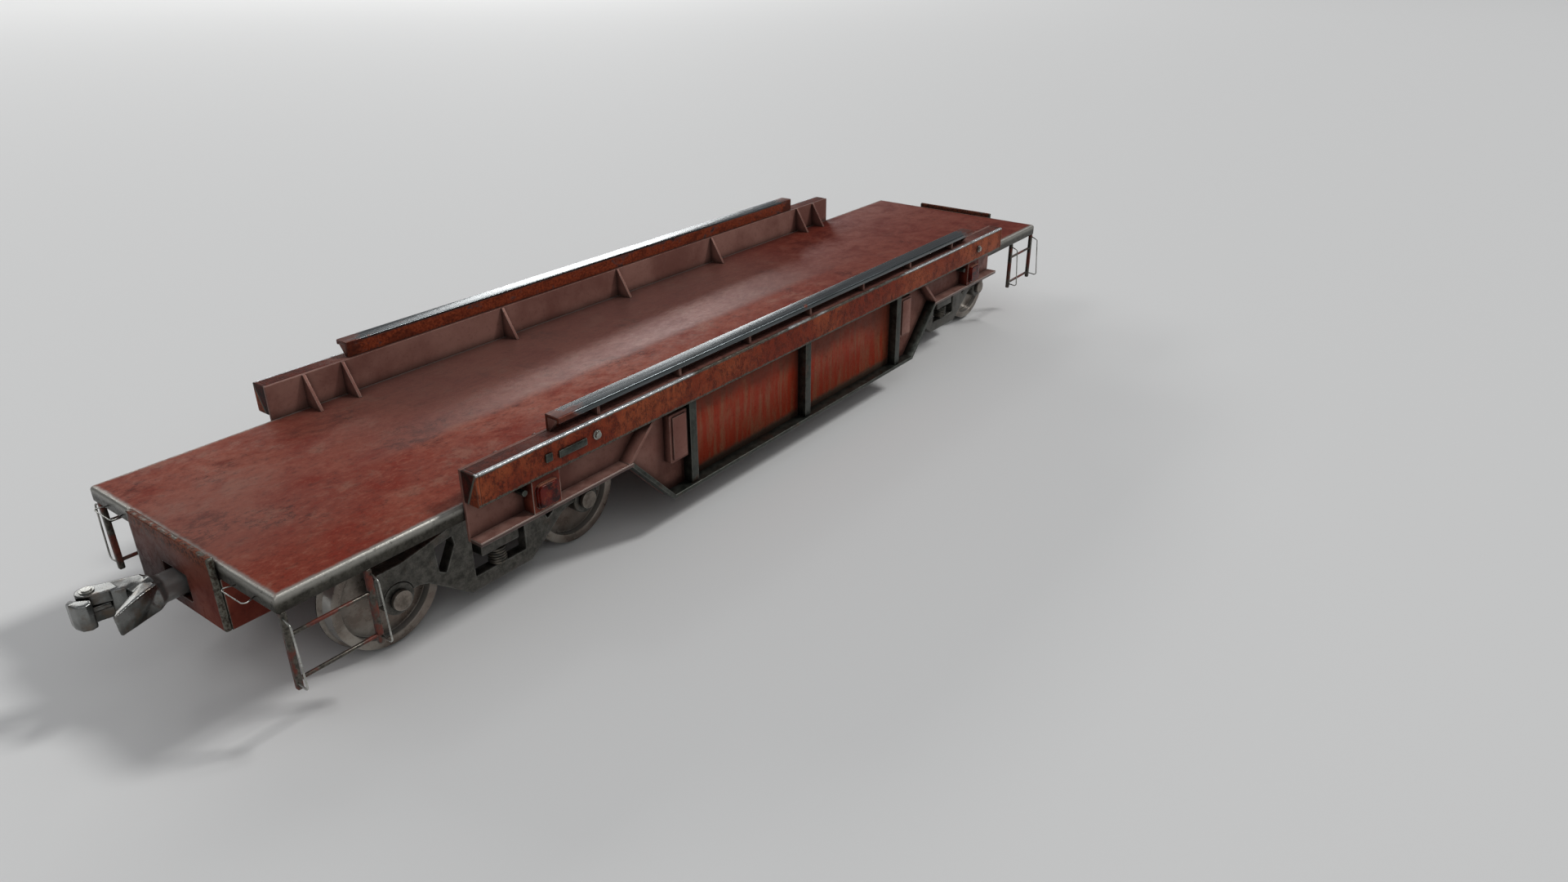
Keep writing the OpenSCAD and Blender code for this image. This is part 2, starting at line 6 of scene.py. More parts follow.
import bmesh
import bpy
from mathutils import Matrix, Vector


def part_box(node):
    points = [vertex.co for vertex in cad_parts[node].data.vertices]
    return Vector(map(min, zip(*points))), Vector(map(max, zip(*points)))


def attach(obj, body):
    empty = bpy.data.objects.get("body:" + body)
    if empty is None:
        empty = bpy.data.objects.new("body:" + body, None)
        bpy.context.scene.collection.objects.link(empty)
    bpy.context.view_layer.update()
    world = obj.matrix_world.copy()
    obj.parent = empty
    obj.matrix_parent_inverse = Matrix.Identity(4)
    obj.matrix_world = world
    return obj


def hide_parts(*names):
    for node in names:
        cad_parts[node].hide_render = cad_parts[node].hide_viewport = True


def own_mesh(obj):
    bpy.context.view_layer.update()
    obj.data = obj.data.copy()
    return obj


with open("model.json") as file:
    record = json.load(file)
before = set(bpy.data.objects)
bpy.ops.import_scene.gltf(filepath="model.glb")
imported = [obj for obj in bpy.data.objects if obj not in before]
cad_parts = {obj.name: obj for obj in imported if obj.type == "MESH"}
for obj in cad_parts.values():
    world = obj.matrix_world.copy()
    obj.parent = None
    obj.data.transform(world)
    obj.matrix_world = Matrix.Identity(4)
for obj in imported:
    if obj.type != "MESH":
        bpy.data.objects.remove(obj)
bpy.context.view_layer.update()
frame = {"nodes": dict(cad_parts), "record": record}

MM = 0.001
nodes = frame["nodes"]
body_of = {n: b for b, members in frame["record"]["behaviour"]["bodies"].items() for n in members}
ENDS = {"front": 1, "rear": -1}


def corners(node):
    """A CAD node's low and high corners in millimetres."""
    low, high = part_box(node)
    return low / MM, high / MM


def srgb(r, g, b):
    """A linear colour from one given in display values of 0 to 255."""
    def lin(v):
        v /= 255
        return v / 12.92 if v <= 0.04045 else ((v + 0.055) / 1.055) ** 2.4
    return (lin(r), lin(g), lin(b), 1.0)


# ---- Node materials

class Finish:
    """Builds one procedural material. Positions and scales are in millimetres."""

    def __init__(self, name):
        self.mat = bpy.data.materials.new(name)
        self.mat.use_nodes = True
        self.tree = self.mat.node_tree
        self.tree.nodes.clear()
        coord = self.node("ShaderNodeTexCoord")
        self.pos = self.vector("SCALE", coord.outputs["Object"], scale=1 / MM)
        self.x, self.y, self.z = self.split(self.pos)
        self.nx, self.ny, self.nz = self.split(coord.outputs["Normal"])

    def node(self, kind, **props):
        n = self.tree.nodes.new(kind)
        for key, value in props.items():
            setattr(n, key, value)
        return n

    def feed(self, socket, value):
        if isinstance(value, bpy.types.NodeSocket):
            self.tree.links.new(value, socket)
        else:
            socket.default_value = value

    def split(self, vec):
        n = self.node("ShaderNodeSeparateXYZ")
        self.feed(n.inputs[0], vec)
        return n.outputs

    def vector(self, op, a, b=(0, 0, 0), scale=1.0):
        n = self.node("ShaderNodeVectorMath", operation=op)
        self.feed(n.inputs[0], a)
        self.feed(n.inputs[1], b)
        if op == "SCALE":
            n.inputs["Scale"].default_value = scale
        return n.outputs[0]

    def math(self, op, a, b=0.0, clamp=False):
        n = self.node("ShaderNodeMath", operation=op, use_clamp=clamp)
        self.feed(n.inputs[0], a)
        self.feed(n.inputs[1], b)
        return n.outputs[0]

    def add(self, a, b):
        return self.math("ADD", a, b)

    def mul(self, a, b):
        return self.math("MULTIPLY", a, b)

    def most(self, a, b):
        return self.math("MAXIMUM", a, b)

    def least(self, a, b):
        return self.math("MINIMUM", a, b)

    def absolute(self, a):
        return self.math("ABSOLUTE", a)

    def flip(self, a):
        return self.math("SUBTRACT", 1.0, a)

    def ease(self, value, low, high, to=(0.0, 1.0)):
        """A smooth step from to[0] at low to to[1] at high. low may be the larger."""
        n = self.node("ShaderNodeMapRange", interpolation_type="SMOOTHSTEP")
        if low > high:
            low, high, to = high, low, (to[1], to[0])
        for socket, v in zip(n.inputs, (value, low, high, to[0], to[1])):
            self.feed(socket, v)
        return n.outputs[0]

    def noise(self, size, detail=3.0, rough=0.55, stretch=(1, 1, 1), seed=0.0, warp=0.0):
        """Noise whose features are about size mm across, times stretch along each axis."""
        n = self.node("ShaderNodeTexNoise")
        scale = tuple(1 / (size * s) for s in stretch)
        moved = self.vector("MULTIPLY_ADD", self.pos, scale)
        moved.node.inputs[2].default_value = (seed * 3.7, seed * 1.9, seed * 5.3)
        self.feed(n.inputs["Vector"], moved)
        n.inputs["Scale"].default_value = 1.0
        n.inputs["Detail"].default_value = detail
        n.inputs["Roughness"].default_value = rough
        n.inputs["Distortion"].default_value = warp
        return n.outputs["Fac"]

    def mix(self, fac, a, b):
        n = self.node("ShaderNodeMix", data_type="RGBA", clamp_factor=True)
        self.feed(n.inputs["Factor"], fac)
        self.feed(n.inputs[6], a)
        self.feed(n.inputs[7], b)
        return n.outputs[2]

    def blend(self, fac, a, b):
        """A number between a and b."""
        n = self.node("ShaderNodeMix", data_type="FLOAT", clamp_factor=True)
        self.feed(n.inputs[0], fac)
        self.feed(n.inputs[2], a)
        self.feed(n.inputs[3], b)
        return n.outputs[0]

    def edges(self, radius, low=0.015, high=0.12):
        """1 along the piece's own sharp edges, fading out at about radius mm from them."""
        bevel = self.node("ShaderNodeBevel", samples=6)
        bevel.inputs["Radius"].default_value = radius * MM
        geometry = self.node("ShaderNodeNewGeometry")
        dot = self.node("ShaderNodeVectorMath", operation="DOT_PRODUCT")
        self.feed(dot.inputs[0], bevel.outputs[0])
        self.feed(dot.inputs[1], geometry.outputs["Normal"])
        return self.ease(self.flip(dot.outputs["Value"]), low, high)

    def ridges(self, size, width=0.03, **more):
        """Thin wandering lines, size mm apart: the places where a noise crosses its middle value."""
        off = self.absolute(self.add(self.noise(size, **more), -0.5))
        return self.ease(off, width, width * 0.2)

    def occlusion_shade(self, reach=3.0):
        """1 deep in corners between pieces, 0 in the open: ambient occlusion, used to paint shade into the
        colour.
        """
        ao = self.node("ShaderNodeAmbientOcclusion", samples=6)
        ao.inputs["Distance"].default_value = reach * MM
        return self.ease(ao.outputs["AO"], 0.95, 0.45)

    def finish(self, colour, rough, metal=0.0, bumps=(), coat=0.0, coat_rough=0.1, specular=0.5):
        """Closes the material. bumps is a list of (height, depth in mm) from coarse to fine."""
        shader = self.node("ShaderNodeBsdfPrincipled")
        self.feed(shader.inputs["Base Color"], colour)
        self.feed(shader.inputs["Roughness"], rough)
        self.feed(shader.inputs["Metallic"], metal)
        shader.inputs["Specular IOR Level"].default_value = specular
        shader.inputs["Coat Weight"].default_value = coat
        shader.inputs["Coat Roughness"].default_value = coat_rough
        normal = None
        for height, depth in bumps:
            bump = self.node("ShaderNodeBump")
            bump.inputs["Strength"].default_value = 1.0
            bump.inputs["Distance"].default_value = depth * MM
            self.feed(bump.inputs["Height"], height)
            if normal is not None:
                self.feed(bump.inputs["Normal"], normal)
            normal = bump.outputs[0]
        if normal is not None:
            self.feed(shader.inputs["Normal"], normal)
        out = self.node("ShaderNodeOutputMaterial")
        self.feed(out.inputs["Surface"], shader.outputs[0])
        return self.mat


STEEL_MID = srgb(104, 106, 98)
STEEL_DARK = srgb(58, 60, 54)
STEEL_BLACK = srgb(34, 35, 33)


def worn_steel_colour(f, seed=0.0, dark=STEEL_DARK, light=STEEL_MID, size=3.2):
    """Grey-green steel with soft, fine mottling."""
    cloud = f.noise(size, 6, 0.72, seed=seed)
    spots = f.noise(size * 0.3, 4, 0.65, seed=seed + 2)
    colour = f.mix(f.ease(cloud, 0.3, 0.7), dark, light)
    return f.mix(f.mul(f.ease(spots, 0.56, 0.74), 0.35), colour, STEEL_BLACK), cloud, spots


def deck_paint():
    """Red-oxide paint on the deck: clouded, scratched, rubbed grey inside and bare along its edges."""
    f = Finish("deck_paint")
    low, high = corners("deck")
    cloud = f.noise(38.0, 5, 0.6, seed=1)
    patch = f.noise(8.0, 6, 0.72, stretch=(1.3, 1, 1), seed=2, warp=0.4)
    grain = f.noise(1.5, 6, 0.75, stretch=(1.7, 1, 1), seed=3)
    speck = f.noise(0.7, 3, 0.6, seed=4)
    red = f.mix(f.ease(cloud, 0.36, 0.64), srgb(116, 50, 37), srgb(134, 72, 56))
    red = f.mix(f.mul(f.ease(patch, 0.5, 0.68), 0.7), red, srgb(114, 37, 26))
    red = f.mix(f.mul(f.ease(patch, 0.48, 0.34), 0.6), red, srgb(132, 88, 72))
    red = f.mix(f.mul(f.ease(grain, 0.5, 0.7), 0.6), red, srgb(72, 32, 25))
    red = f.mix(f.mul(f.ease(grain, 0.48, 0.34), 0.35), red, srgb(146, 90, 72))
    red = f.mix(f.mul(f.ease(speck, 0.56, 0.7), 0.3), red, srgb(60, 30, 26))
    # Scratches lie thickest in a few places.
    thick = f.ease(f.noise(24.0, 3, 0.5, seed=5), 0.54, 0.66)
    scratches = f.most(
        f.ridges(3.4, 0.02, detail=5, rough=0.7, stretch=(3.2, 0.8, 1), seed=6, warp=0.7),
        f.ridges(2.6, 0.02, detail=5, rough=0.7, stretch=(1.4, 1.6, 1), seed=7, warp=0.9),
    )
    scratches = f.mul(scratches, f.mul(f.blend(thick, 0.1, 0.85), f.ease(grain, 0.4, 0.56)))
    stain = f.mul(f.mul(thick, f.ease(patch, 0.48, 0.6)), 0.45)
    red = f.mix(f.most(scratches, stain), red, srgb(46, 27, 24))
    # The middle of the load area is rubbed grey and smooth.
    along = f.ease(f.absolute(f.add(f.x, 24.0)), 135.0, 70.0)
    wander = f.add(f.y, f.mul(f.add(patch, -0.5), 9.0))
    across = f.mul(f.ease(wander, -7.0, -2.0), f.blend(f.ease(wander, 6.0, 30.0), 0.75, 1.0))
    far = f.ease(f.add(f.x, f.mul(f.add(cloud, -0.5), 50.0)), 20.0, 95.0)
    red = f.mix(f.mul(far, 0.55), red, f.mix(f.ease(patch, 0.4, 0.62), srgb(98, 38, 28), srgb(74, 26, 20)))
    rubbed = f.mul(f.mul(along, across), f.blend(far, 1.0, 0.35))
    ends = f.ease(f.add(f.absolute(f.x), f.mul(f.add(cloud, -0.5), 60.0)), 128.0, 176.0)
    ends = f.mul(f.mul(ends, f.ease(f.absolute(f.y), 34.0, 8.0)), f.blend(far, 0.5, 0.0))
    pale = f.most(rubbed, ends)
    colour = f.mix(f.mul(pale, 0.66), red, srgb(108, 84, 78))
    # Bare steel along the edges and on the side faces, with a painted highlight along the top corner.
    inset = f.least(
        f.math("SUBTRACT", high.x, f.absolute(f.x)), f.math("SUBTRACT", high.y, f.absolute(f.y))
    )
    fringe = f.noise(1.6, 5, 0.75, seed=8)
    ragged = f.add(inset, f.mul(f.add(fringe, -0.5), 1.7))
    bare = f.ease(ragged, 1.9, 0.4)
    steel, _, spots = worn_steel_colour(f, 9, srgb(100, 94, 88), srgb(132, 127, 121), 2.2)
    side = f.ease(inset, 0.8, 0.1)
    low_side = f.ease(f.z, high.z - 0.8, low.z + 0.2)
    side_steel, _, _ = worn_steel_colour(f, 10, srgb(48, 46, 41), srgb(96, 93, 86), 1.9)
    side_steel = f.mix(f.mul(low_side, 0.65), side_steel, srgb(46, 44, 39))
    steel = f.mix(side, steel, side_steel)
    # Painted highlight: a pale band along the deck's top corner, broken up by the fringe noise.
    corner = f.ease(f.add(inset, f.math("SUBTRACT", high.z, f.z)), 2.3, 0.7)
    corner = f.mul(corner, f.ease(fringe, 0.26, 0.46))
    steel = f.mix(f.mul(corner, 0.85), steel, srgb(158, 156, 149))
    colour = f.mix(bare, colour, steel)
    # Painted shade in corners between pieces, from ambient occlusion.
    colour = f.mix(f.mul(f.occlusion_shade(7.0), 0.6), colour, srgb(36, 24, 22))
    rough = f.blend(f.ease(patch, 0.38, 0.68), 0.5, 0.66)
    rough = f.blend(rubbed, rough, f.blend(f.ease(grain, 0.35, 0.65), 0.32, 0.42))
    rough = f.blend(bare, rough, f.blend(f.ease(spots, 0.4, 0.65), 0.34, 0.5))
    metal = f.blend(bare, f.blend(rubbed, 0.1, 0.38), 0.7)
    return f.finish(colour, rough, metal, [(patch, 0.05), (grain, 0.03), (speck, 0.015)], specular=0.06)


def girder_paint():
    """Brown-red primer, with deeper red panels between the stiffeners and a grey-green foot."""
    f = Finish("girder_paint")
    cloud = f.noise(24.0, 5, 0.6, seed=11)
    fine = f.noise(1.3, 5, 0.7, seed=12)
    runs = f.noise(3.2, 6, 0.7, stretch=(0.7, 1, 5), seed=13, warp=0.4)
    primer = f.mix(f.ease(cloud, 0.34, 0.66), srgb(106, 70, 62), srgb(132, 96, 86))
    primer = f.mix(f.mul(f.ease(fine, 0.5, 0.72), 0.35), primer, srgb(84, 52, 45))
    stiffener = corners("web_stiffeners")[1]
    inside = f.ease(f.absolute(f.x), stiffener.x + 0.4, stiffener.x - 0.8)
    low_z, high_z = corners("bottom_flange_right")[0].z, corners("top_beam_right")[0].z
    outer = f.ease(f.absolute(f.y), 41.6, 41.9)
    panel = f.mul(inside, f.mul(f.ease(f.z, high_z + 0.3, high_z - 0.6), outer))
    deep = f.mix(f.ease(runs, 0.42, 0.64), srgb(134, 44, 24), srgb(128, 74, 52))
    deep = f.mix(f.mul(f.ease(fine, 0.52, 0.72), 0.4), deep, srgb(84, 32, 22))
    # Towards the top beam the panels turn browner and darker: partly worn paint, partly painted shade under
    # the beam.
    worn = f.ease(f.add(f.z, f.mul(f.add(cloud, -0.5), 30.0)), 25.0, 34.0)
    deep = f.mix(f.mul(worn, 0.75), deep, f.mix(f.ease(runs, 0.42, 0.6), srgb(96, 54, 40), srgb(84, 40, 30)))
    colour = f.mix(panel, primer, deep)
    foot = f.ease(f.add(f.z, f.mul(f.add(fine, -0.5), 3.0)), low_z + 4.6, low_z + 2.4)
    colour = f.mix(f.mul(f.mul(foot, panel), 0.85), colour, srgb(74, 72, 60))
    # Painted shade: a dark band where the panels meet the outermost stiffeners.
    beside = f.mul(f.ease(f.absolute(f.add(f.absolute(f.x), -stiffener.x)), 1.3, 0.9), outer)
    colour = f.mix(f.mul(beside, 0.6), colour, srgb(44, 28, 24))
    rim = f.mul(f.edges(0.45), f.ease(f.noise(2.4, 4, 0.65, seed=15), 0.36, 0.58))
    colour = f.mix(f.mul(rim, 0.75), colour, srgb(150, 140, 130))
    # Painted shade in corners between pieces, from ambient occlusion.
    painted_shade = f.occlusion_shade(3.2)
    colour = f.mix(f.mul(painted_shade, 0.72), colour, srgb(40, 26, 23))
    rough = f.blend(f.ease(fine, 0.4, 0.65), 0.4, 0.54)
    metal = f.blend(rim, 0.2, 0.55)
    return f.finish(colour, rough, metal, [(runs, 0.03), (fine, 0.03)], specular=0.08)


def rusted_paint():
    """Orange rust over red paint, cracked, with grey-green borders and a painted highlight along the outer
    top edge.
    """
    f = Finish("rusted_paint")
    cloud = f.noise(28.0, 5, 0.65, stretch=(1.6, 1, 1), seed=21)
    blot = f.noise(2.6, 6, 0.75, stretch=(1.1, 1, 1.5), seed=22, warp=0.6)
    crack = f.ridges(1.9, 0.055, detail=6, rough=0.78, stretch=(0.8, 1, 1.7), seed=24, warp=1.4)
    crack = f.mul(crack, f.ease(blot, 0.38, 0.56))
    fine = f.noise(0.6, 4, 0.65, seed=23)
    rust = f.mix(f.ease(cloud, 0.38, 0.62), srgb(112, 44, 28), srgb(144, 74, 46))
    rust = f.mix(f.mul(f.ease(blot, 0.5, 0.66), 0.75), rust, srgb(92, 34, 25))
    rust = f.mix(f.mul(crack, 0.7), rust, srgb(60, 32, 26))
    rust = f.mix(f.mul(f.ease(fine, 0.56, 0.72), 0.4), rust, srgb(62, 42, 34))
    low, high = corners("top_beam_right")
    cap_x = corners("beam_end_caps")[1].x
    outer = f.ease(f.absolute(f.y), 46.3, 46.9)
    primer = f.mix(f.ease(cloud, 0.36, 0.64), srgb(98, 62, 55), srgb(122, 84, 75))
    primer = f.mix(f.mul(f.ease(blot, 0.48, 0.66), 0.55), primer, srgb(74, 38, 32))
    end = f.ease(f.add(f.absolute(f.x), f.mul(f.add(blot, -0.5), 26.0)), 104.0, 124.0)
    end_red = f.mix(f.ease(blot, 0.4, 0.62), srgb(52, 22, 18), srgb(98, 42, 30))
    primer = f.mix(f.mul(end, 0.85), primer, end_red)
    # The end caps: dark red, but for the outer lower triangle.
    on_cap = f.ease(f.absolute(f.x), cap_x - 0.35, cap_x - 0.1)
    up = f.math("DIVIDE", f.math("SUBTRACT", f.z, low.z), high.z - low.z)
    out = f.math("DIVIDE", f.math("SUBTRACT", f.absolute(f.y), 42.0), 5.2)
    lean = f.math("SUBTRACT", out, f.add(f.mul(up, 0.75), 0.25))
    triangle = f.ease(lean, -0.03, 0.03)
    seam = f.ease(f.absolute(lean), 0.09, 0.03)
    cap = f.mix(f.ease(blot, 0.42, 0.6), srgb(38, 26, 22), srgb(74, 28, 22))
    cap = f.mix(triangle, cap, rust)
    cap = f.mix(f.mul(seam, 0.8), cap, srgb(92, 100, 92))
    colour = f.mix(on_cap, f.mix(outer, primer, rust), cap)
    rise = f.least(f.math("SUBTRACT", f.z, low.z), f.math("SUBTRACT", high.z, f.z))
    fringe = f.noise(1.5, 5, 0.75, seed=25)
    ragged = f.add(rise, f.mul(f.add(fringe, -0.5), 1.5))
    border = f.mul(f.mul(outer, f.flip(on_cap)), f.ease(ragged, 1.0, 0.5))
    green = f.mix(f.ease(fine, 0.4, 0.6), srgb(60, 66, 60), srgb(94, 100, 92))
    colour = f.mix(f.mul(border, 0.85), colour, green)
    rim = f.edges(0.55)
    colour = f.mix(f.mul(rim, 0.6), colour, srgb(92, 97, 90))
    # Painted highlight: a near-white line along the outer top corner, broken up by noise and strongest
    # towards the ends.
    corner = f.ease(f.absolute(f.y), -low.y - 1.0, -low.y - 0.6)
    corner = f.mul(corner, f.ease(f.z, high.z - 0.6, high.z - 0.3))
    worn = f.noise(12.0, 4, 0.65, stretch=(2, 1, 1), seed=26)
    worn = f.add(worn, f.ease(f.absolute(f.x), 30.0, 100.0, (-0.22, 0.06)))
    bright = f.mul(f.mul(corner, f.ease(worn, 0.34, 0.5)), f.flip(on_cap))
    colour = f.mix(bright, colour, srgb(206, 211, 212))
    # Painted shade in corners between pieces, from ambient occlusion.
    colour = f.mix(f.mul(f.occlusion_shade(3.0), 0.55), colour, srgb(36, 24, 21))
    rough = f.blend(f.most(outer, on_cap), 0.6, 0.54)
    rough = f.blend(bright, f.blend(border, rough, 0.38), 0.22)
    metal = f.blend(border, f.blend(outer, 0.04, 0.22), 0.55)
    metal = f.blend(bright, metal, 0.6)
    return f.finish(colour, rough, metal, [(blot, 0.05), (crack, -0.04), (fine, 0.02)], specular=0.08)


def end_plate_paint():
    """Red paint on the end plates and draft boxes, with the plates' borders worn to the steel."""
    f = Finish("end_plate_paint")
    cloud = f.noise(14.0, 5, 0.6, seed=31)
    patch = f.noise(2.8, 6, 0.75, seed=32, warp=0.5)
    fine = f.noise(0.7, 4, 0.65, seed=33)
    colour = f.mix(f.ease(cloud, 0.36, 0.64), srgb(92, 38, 29), srgb(114, 57, 44))
    colour = f.mix(f.mul(f.ease(patch, 0.5, 0.68), 0.5), colour, srgb(70, 31, 24))
    high = corners("end_plate_rear")[1]
    plate = f.ease(f.absolute(f.x), -high.x - 0.2, -high.x)
    drop = f.math("SUBTRACT", high.z, f.z)
    uneven = f.mul(f.add(patch, -0.5), 4.0)
    brown = f.mul(f.ease(f.add(f.z, uneven), 28.0, 36.0), plate)
    colour = f.mix(f.mul(brown, 0.5), colour, srgb(100, 66, 56))
    rusty = f.mul(f.ease(f.add(drop, uneven), 4.4, 1.8), plate)
    black_rust = f.mix(f.ease(fine, 0.4, 0.62), srgb(118, 62, 40), srgb(44, 30, 26))
    colour = f.mix(f.mul(rusty, 0.85), colour, black_rust)
    # Painted shadow of the coupler round its opening, deepest on its left.
    left = f.mul(f.y, f.math("SIGN", f.x))
    aside = f.add(left, 4.0)
    from_sill = f.math("SUBTRACT", f.z, 26.0)
    reach = f.math("SQRT", f.add(f.mul(aside, aside), f.mul(from_sill, from_sill)))
    painted_shade = f.mul(f.ease(f.add(reach, uneven), 15.0, 3.0), plate)
    shade = f.mul(f.mul(f.ease(left, 2.0, -11.0), f.ease(f.z, 37.0, 25.0)), plate)
    colour = f.mix(f.mul(f.most(painted_shade, shade), 0.85), colour, srgb(38, 22, 19))
    side = f.math("SUBTRACT", high.y, f.absolute(f.y))
    border = f.least(side, f.add(drop, 0.9))
    border = f.mul(f.ease(f.add(border, f.mul(uneven, 0.6)), 1.1, 0.6), plate)
    steel = f.mix(f.ease(fine, 0.36, 0.6), srgb(46, 46, 40), srgb(102, 104, 95))
    colour = f.mix(f.mul(border, 0.9), colour, steel)
    # Pale edges: partly worn steel, partly a painted highlight along the plate's edges.
    worn = f.mul(f.edges(0.55), f.ease(f.noise(4.6, 5, 0.72, seed=35), 0.3, 0.48))
    colour = f.mix(f.mul(worn, 0.9), colour, srgb(168, 160, 150))
    # Painted shade in corners between pieces, from ambient occlusion.
    colour = f.mix(f.mul(f.occlusion_shade(4.0), 0.6), colour, srgb(30, 22, 20))
    bare = f.most(border, worn)
    rough = f.blend(bare, f.blend(f.ease(patch, 0.4, 0.65), 0.4, 0.55), 0.3)
    metal = f.blend(bare, 0.06, 0.65)
    return f.finish(colour, rough, metal, [(patch, 0.05), (fine, 0.02)], specular=0.05)


def dark_steel():
    """Dark worn steel. The girders' shelves, clear of the belly, still have their primer."""
    f = Finish("dark_steel")
    colour, cloud, spots = worn_steel_colour(f, 41, srgb(38, 40, 36), srgb(72, 75, 69), 2.6)
    rust = f.mul(f.ease(f.noise(6.0, 5, 0.7, seed=44), 0.56, 0.68), 0.45)
    colour = f.mix(rust, colour, srgb(84, 52, 38))
    primer = f.mix(f.ease(cloud, 0.34, 0.66), srgb(104, 72, 64), srgb(128, 96, 86))
    shelf_z = corners("lamp_housings")[0].z
    shelf = f.mul(f.ease(f.absolute(f.x), 84.2, 85.0), f.ease(f.z, shelf_z - 1.5, shelf_z - 1.2))
    shelf = f.mul(shelf, f.ease(f.z, shelf_z + 0.6, shelf_z + 0.2))
    colour = f.mix(shelf, colour, primer)
    face = f.mul(shelf, f.ease(f.absolute(f.nz), 0.6, 0.3))
    under = f.mul(face, f.ease(f.z, shelf_z - 0.3, shelf_z - 0.5))
    colour = f.mix(f.mul(face, 0.6), colour, srgb(150, 138, 128))
    colour = f.mix(f.mul(under, 0.9), colour, srgb(52, 28, 23))
    rim = f.mul(f.mul(f.edges(0.5), f.ease(f.noise(2.4, 4, 0.65, seed=45), 0.3, 0.5)), f.flip(under))
    colour = f.mix(f.mul(rim, 0.7), colour, srgb(122, 123, 116))
    # Painted shade in corners between pieces, from ambient occlusion.
    colour = f.mix(f.mul(f.occlusion_shade(3.0), 0.65), colour, srgb(20, 19, 17))
    rough = f.blend(f.ease(cloud, 0.35, 0.65), 0.3, 0.44)
    metal = f.blend(shelf, 0.75, f.mul(rim, 0.7))
    return f.finish(colour, rough, metal, [(cloud, 0.04), (spots, 0.02)])


def guide_steel():
    """Polished near-black rail flange, streaked along its length, on a rusted inner web."""
    f = Finish("guide_steel")
    streak = f.noise(0.6, 4, 0.6, stretch=(45, 0.6, 1), seed=51)
    cloud = f.noise(18.0, 4, 0.6, stretch=(2.5, 1, 1), seed=52)
    patch = f.noise(5.0, 6, 0.72, stretch=(2, 1, 1), seed=53, warp=0.5)
    fine = f.noise(0.8, 4, 0.65, seed=54)
    steel = f.mix(f.ease(streak, 0.3, 0.7), srgb(70, 75, 76), srgb(98, 104, 106))
    steel = f.mix(f.mul(f.ease(cloud, 0.5, 0.7), 0.4), steel, srgb(50, 54, 50))
    rust = f.mix(f.ease(fine, 0.35, 0.65), srgb(104, 44, 28), srgb(146, 72, 44))
    rust = f.mix(f.mul(f.ease(patch, 0.5, 0.62), 0.5), rust, srgb(58, 30, 24))
    high = corners("guide_rail_right")[1]
    tips = f.ease(f.add(f.absolute(f.x), f.mul(f.add(patch, -0.5), 26.0)), high.x - 7.0, high.x - 4.0)
    inner = f.mul(f.ease(f.absolute(f.y), 43.1, 42.7), f.ease(f.z, high.z - 0.5, high.z - 0.9))
    spots = f.mul(f.ease(patch, 0.66, 0.7), 0.9)
    rusty = f.most(f.most(tips, spots), f.mul(inner, f.ease(patch, 0.3, 0.45)))
    rust = f.mix(f.mul(tips, 0.7), rust, srgb(62, 34, 28))
    colour = f.mix(rusty, steel, rust)
    rim = f.mul(f.edges(0.4), f.ease(cloud, 0.36, 0.6))
    colour = f.mix(f.mul(rim, f.flip(f.mul(tips, 0.7))), colour, srgb(190, 196, 196))
    rough = f.blend(rusty, f.blend(f.ease(streak, 0.3, 0.7), 0.22, 0.3), 0.42)
    metal = f.blend(rusty, 0.95, 0.35)
    return f.finish(colour, rough, metal, [(streak, 0.004), (fine, 0.008)], specular=0.2)


def coupler_steel():
    """A cast coupler rubbed smooth, with painted shade in its hollows and painted light on its shank."""
    f = Finish("coupler_steel")
    cloud = f.noise(7.0, 4, 0.55, seed=61)
    fine = f.noise(0.5, 4, 0.6, seed=62)
    scratch = f.noise(0.4, 3, 0.6, stretch=(8, 1, 1), seed=63)
    colour = f.mix(f.ease(cloud, 0.36, 0.64), srgb(66, 66, 63), srgb(124, 125, 123))
    brown = f.ease(f.noise(3.6, 5, 0.65, seed=65), 0.5, 0.66)
    colour = f.mix(f.mul(brown, 0.5), colour, srgb(92, 76, 62))
    colour = f.mix(f.mul(f.ease(fine, 0.56, 0.74), 0.2), colour, srgb(72, 70, 66))
    # Painted shade in the hollows, from ambient occlusion.
    colour = f.mix(f.mul(f.occlusion_shade(2.4), 0.8), colour, srgb(28, 27, 26))
    # Painted light: the shank is lighter, standing in for light that the end plate keeps off it. It is also
    # rougher and less metallic.
    shank = f.ease(f.absolute(f.x), 192.6, 191.4)
    colour = f.mix(f.mul(shank, 0.7), colour, srgb(138, 136, 133))
    rough = f.blend(shank, f.blend(f.ease(cloud, 0.35, 0.65), 0.2, 0.28), 0.32)
    return f.finish(colour, rough, f.blend(shank, 0.96, 0.72), [(cloud, 0.03), (scratch, 0.003)])


def cast_iron():
    """Dark mottled castings, a little rusty, with their edges worn."""
    f = Finish("cast_iron")
    colour, cloud, _ = worn_steel_colour(f, 71, srgb(50, 49, 44), srgb(98, 95, 89), 2.0)
    grit = f.noise(0.4, 4, 0.7, seed=74)
    colour = f.mix(f.mul(f.ease(grit, 0.5, 0.64), 0.4), colour, srgb(44, 43, 38))
    rust = f.mul(f.ease(f.noise(7.0, 5, 0.7, seed=75), 0.56, 0.7), 0.35)
    colour = f.mix(rust, colour, srgb(88, 68, 54))
    rim = f.mul(f.edges(0.8), f.ease(f.noise(3.0, 4, 0.65, seed=76), 0.34, 0.56))
    colour = f.mix(f.mul(rim, 0.75), colour, srgb(160, 161, 154))
    # Painted shade in corners between pieces, from ambient occlusion.
    colour = f.mix(f.mul(f.occlusion_shade(4.0), 0.6), colour, srgb(20, 20, 18))
    rough = f.blend(f.ease(cloud, 0.35, 0.65), 0.34, 0.48)
    return f.finish(colour, rough, 0.7, [(cloud, 0.06), (grit, 0.02)])


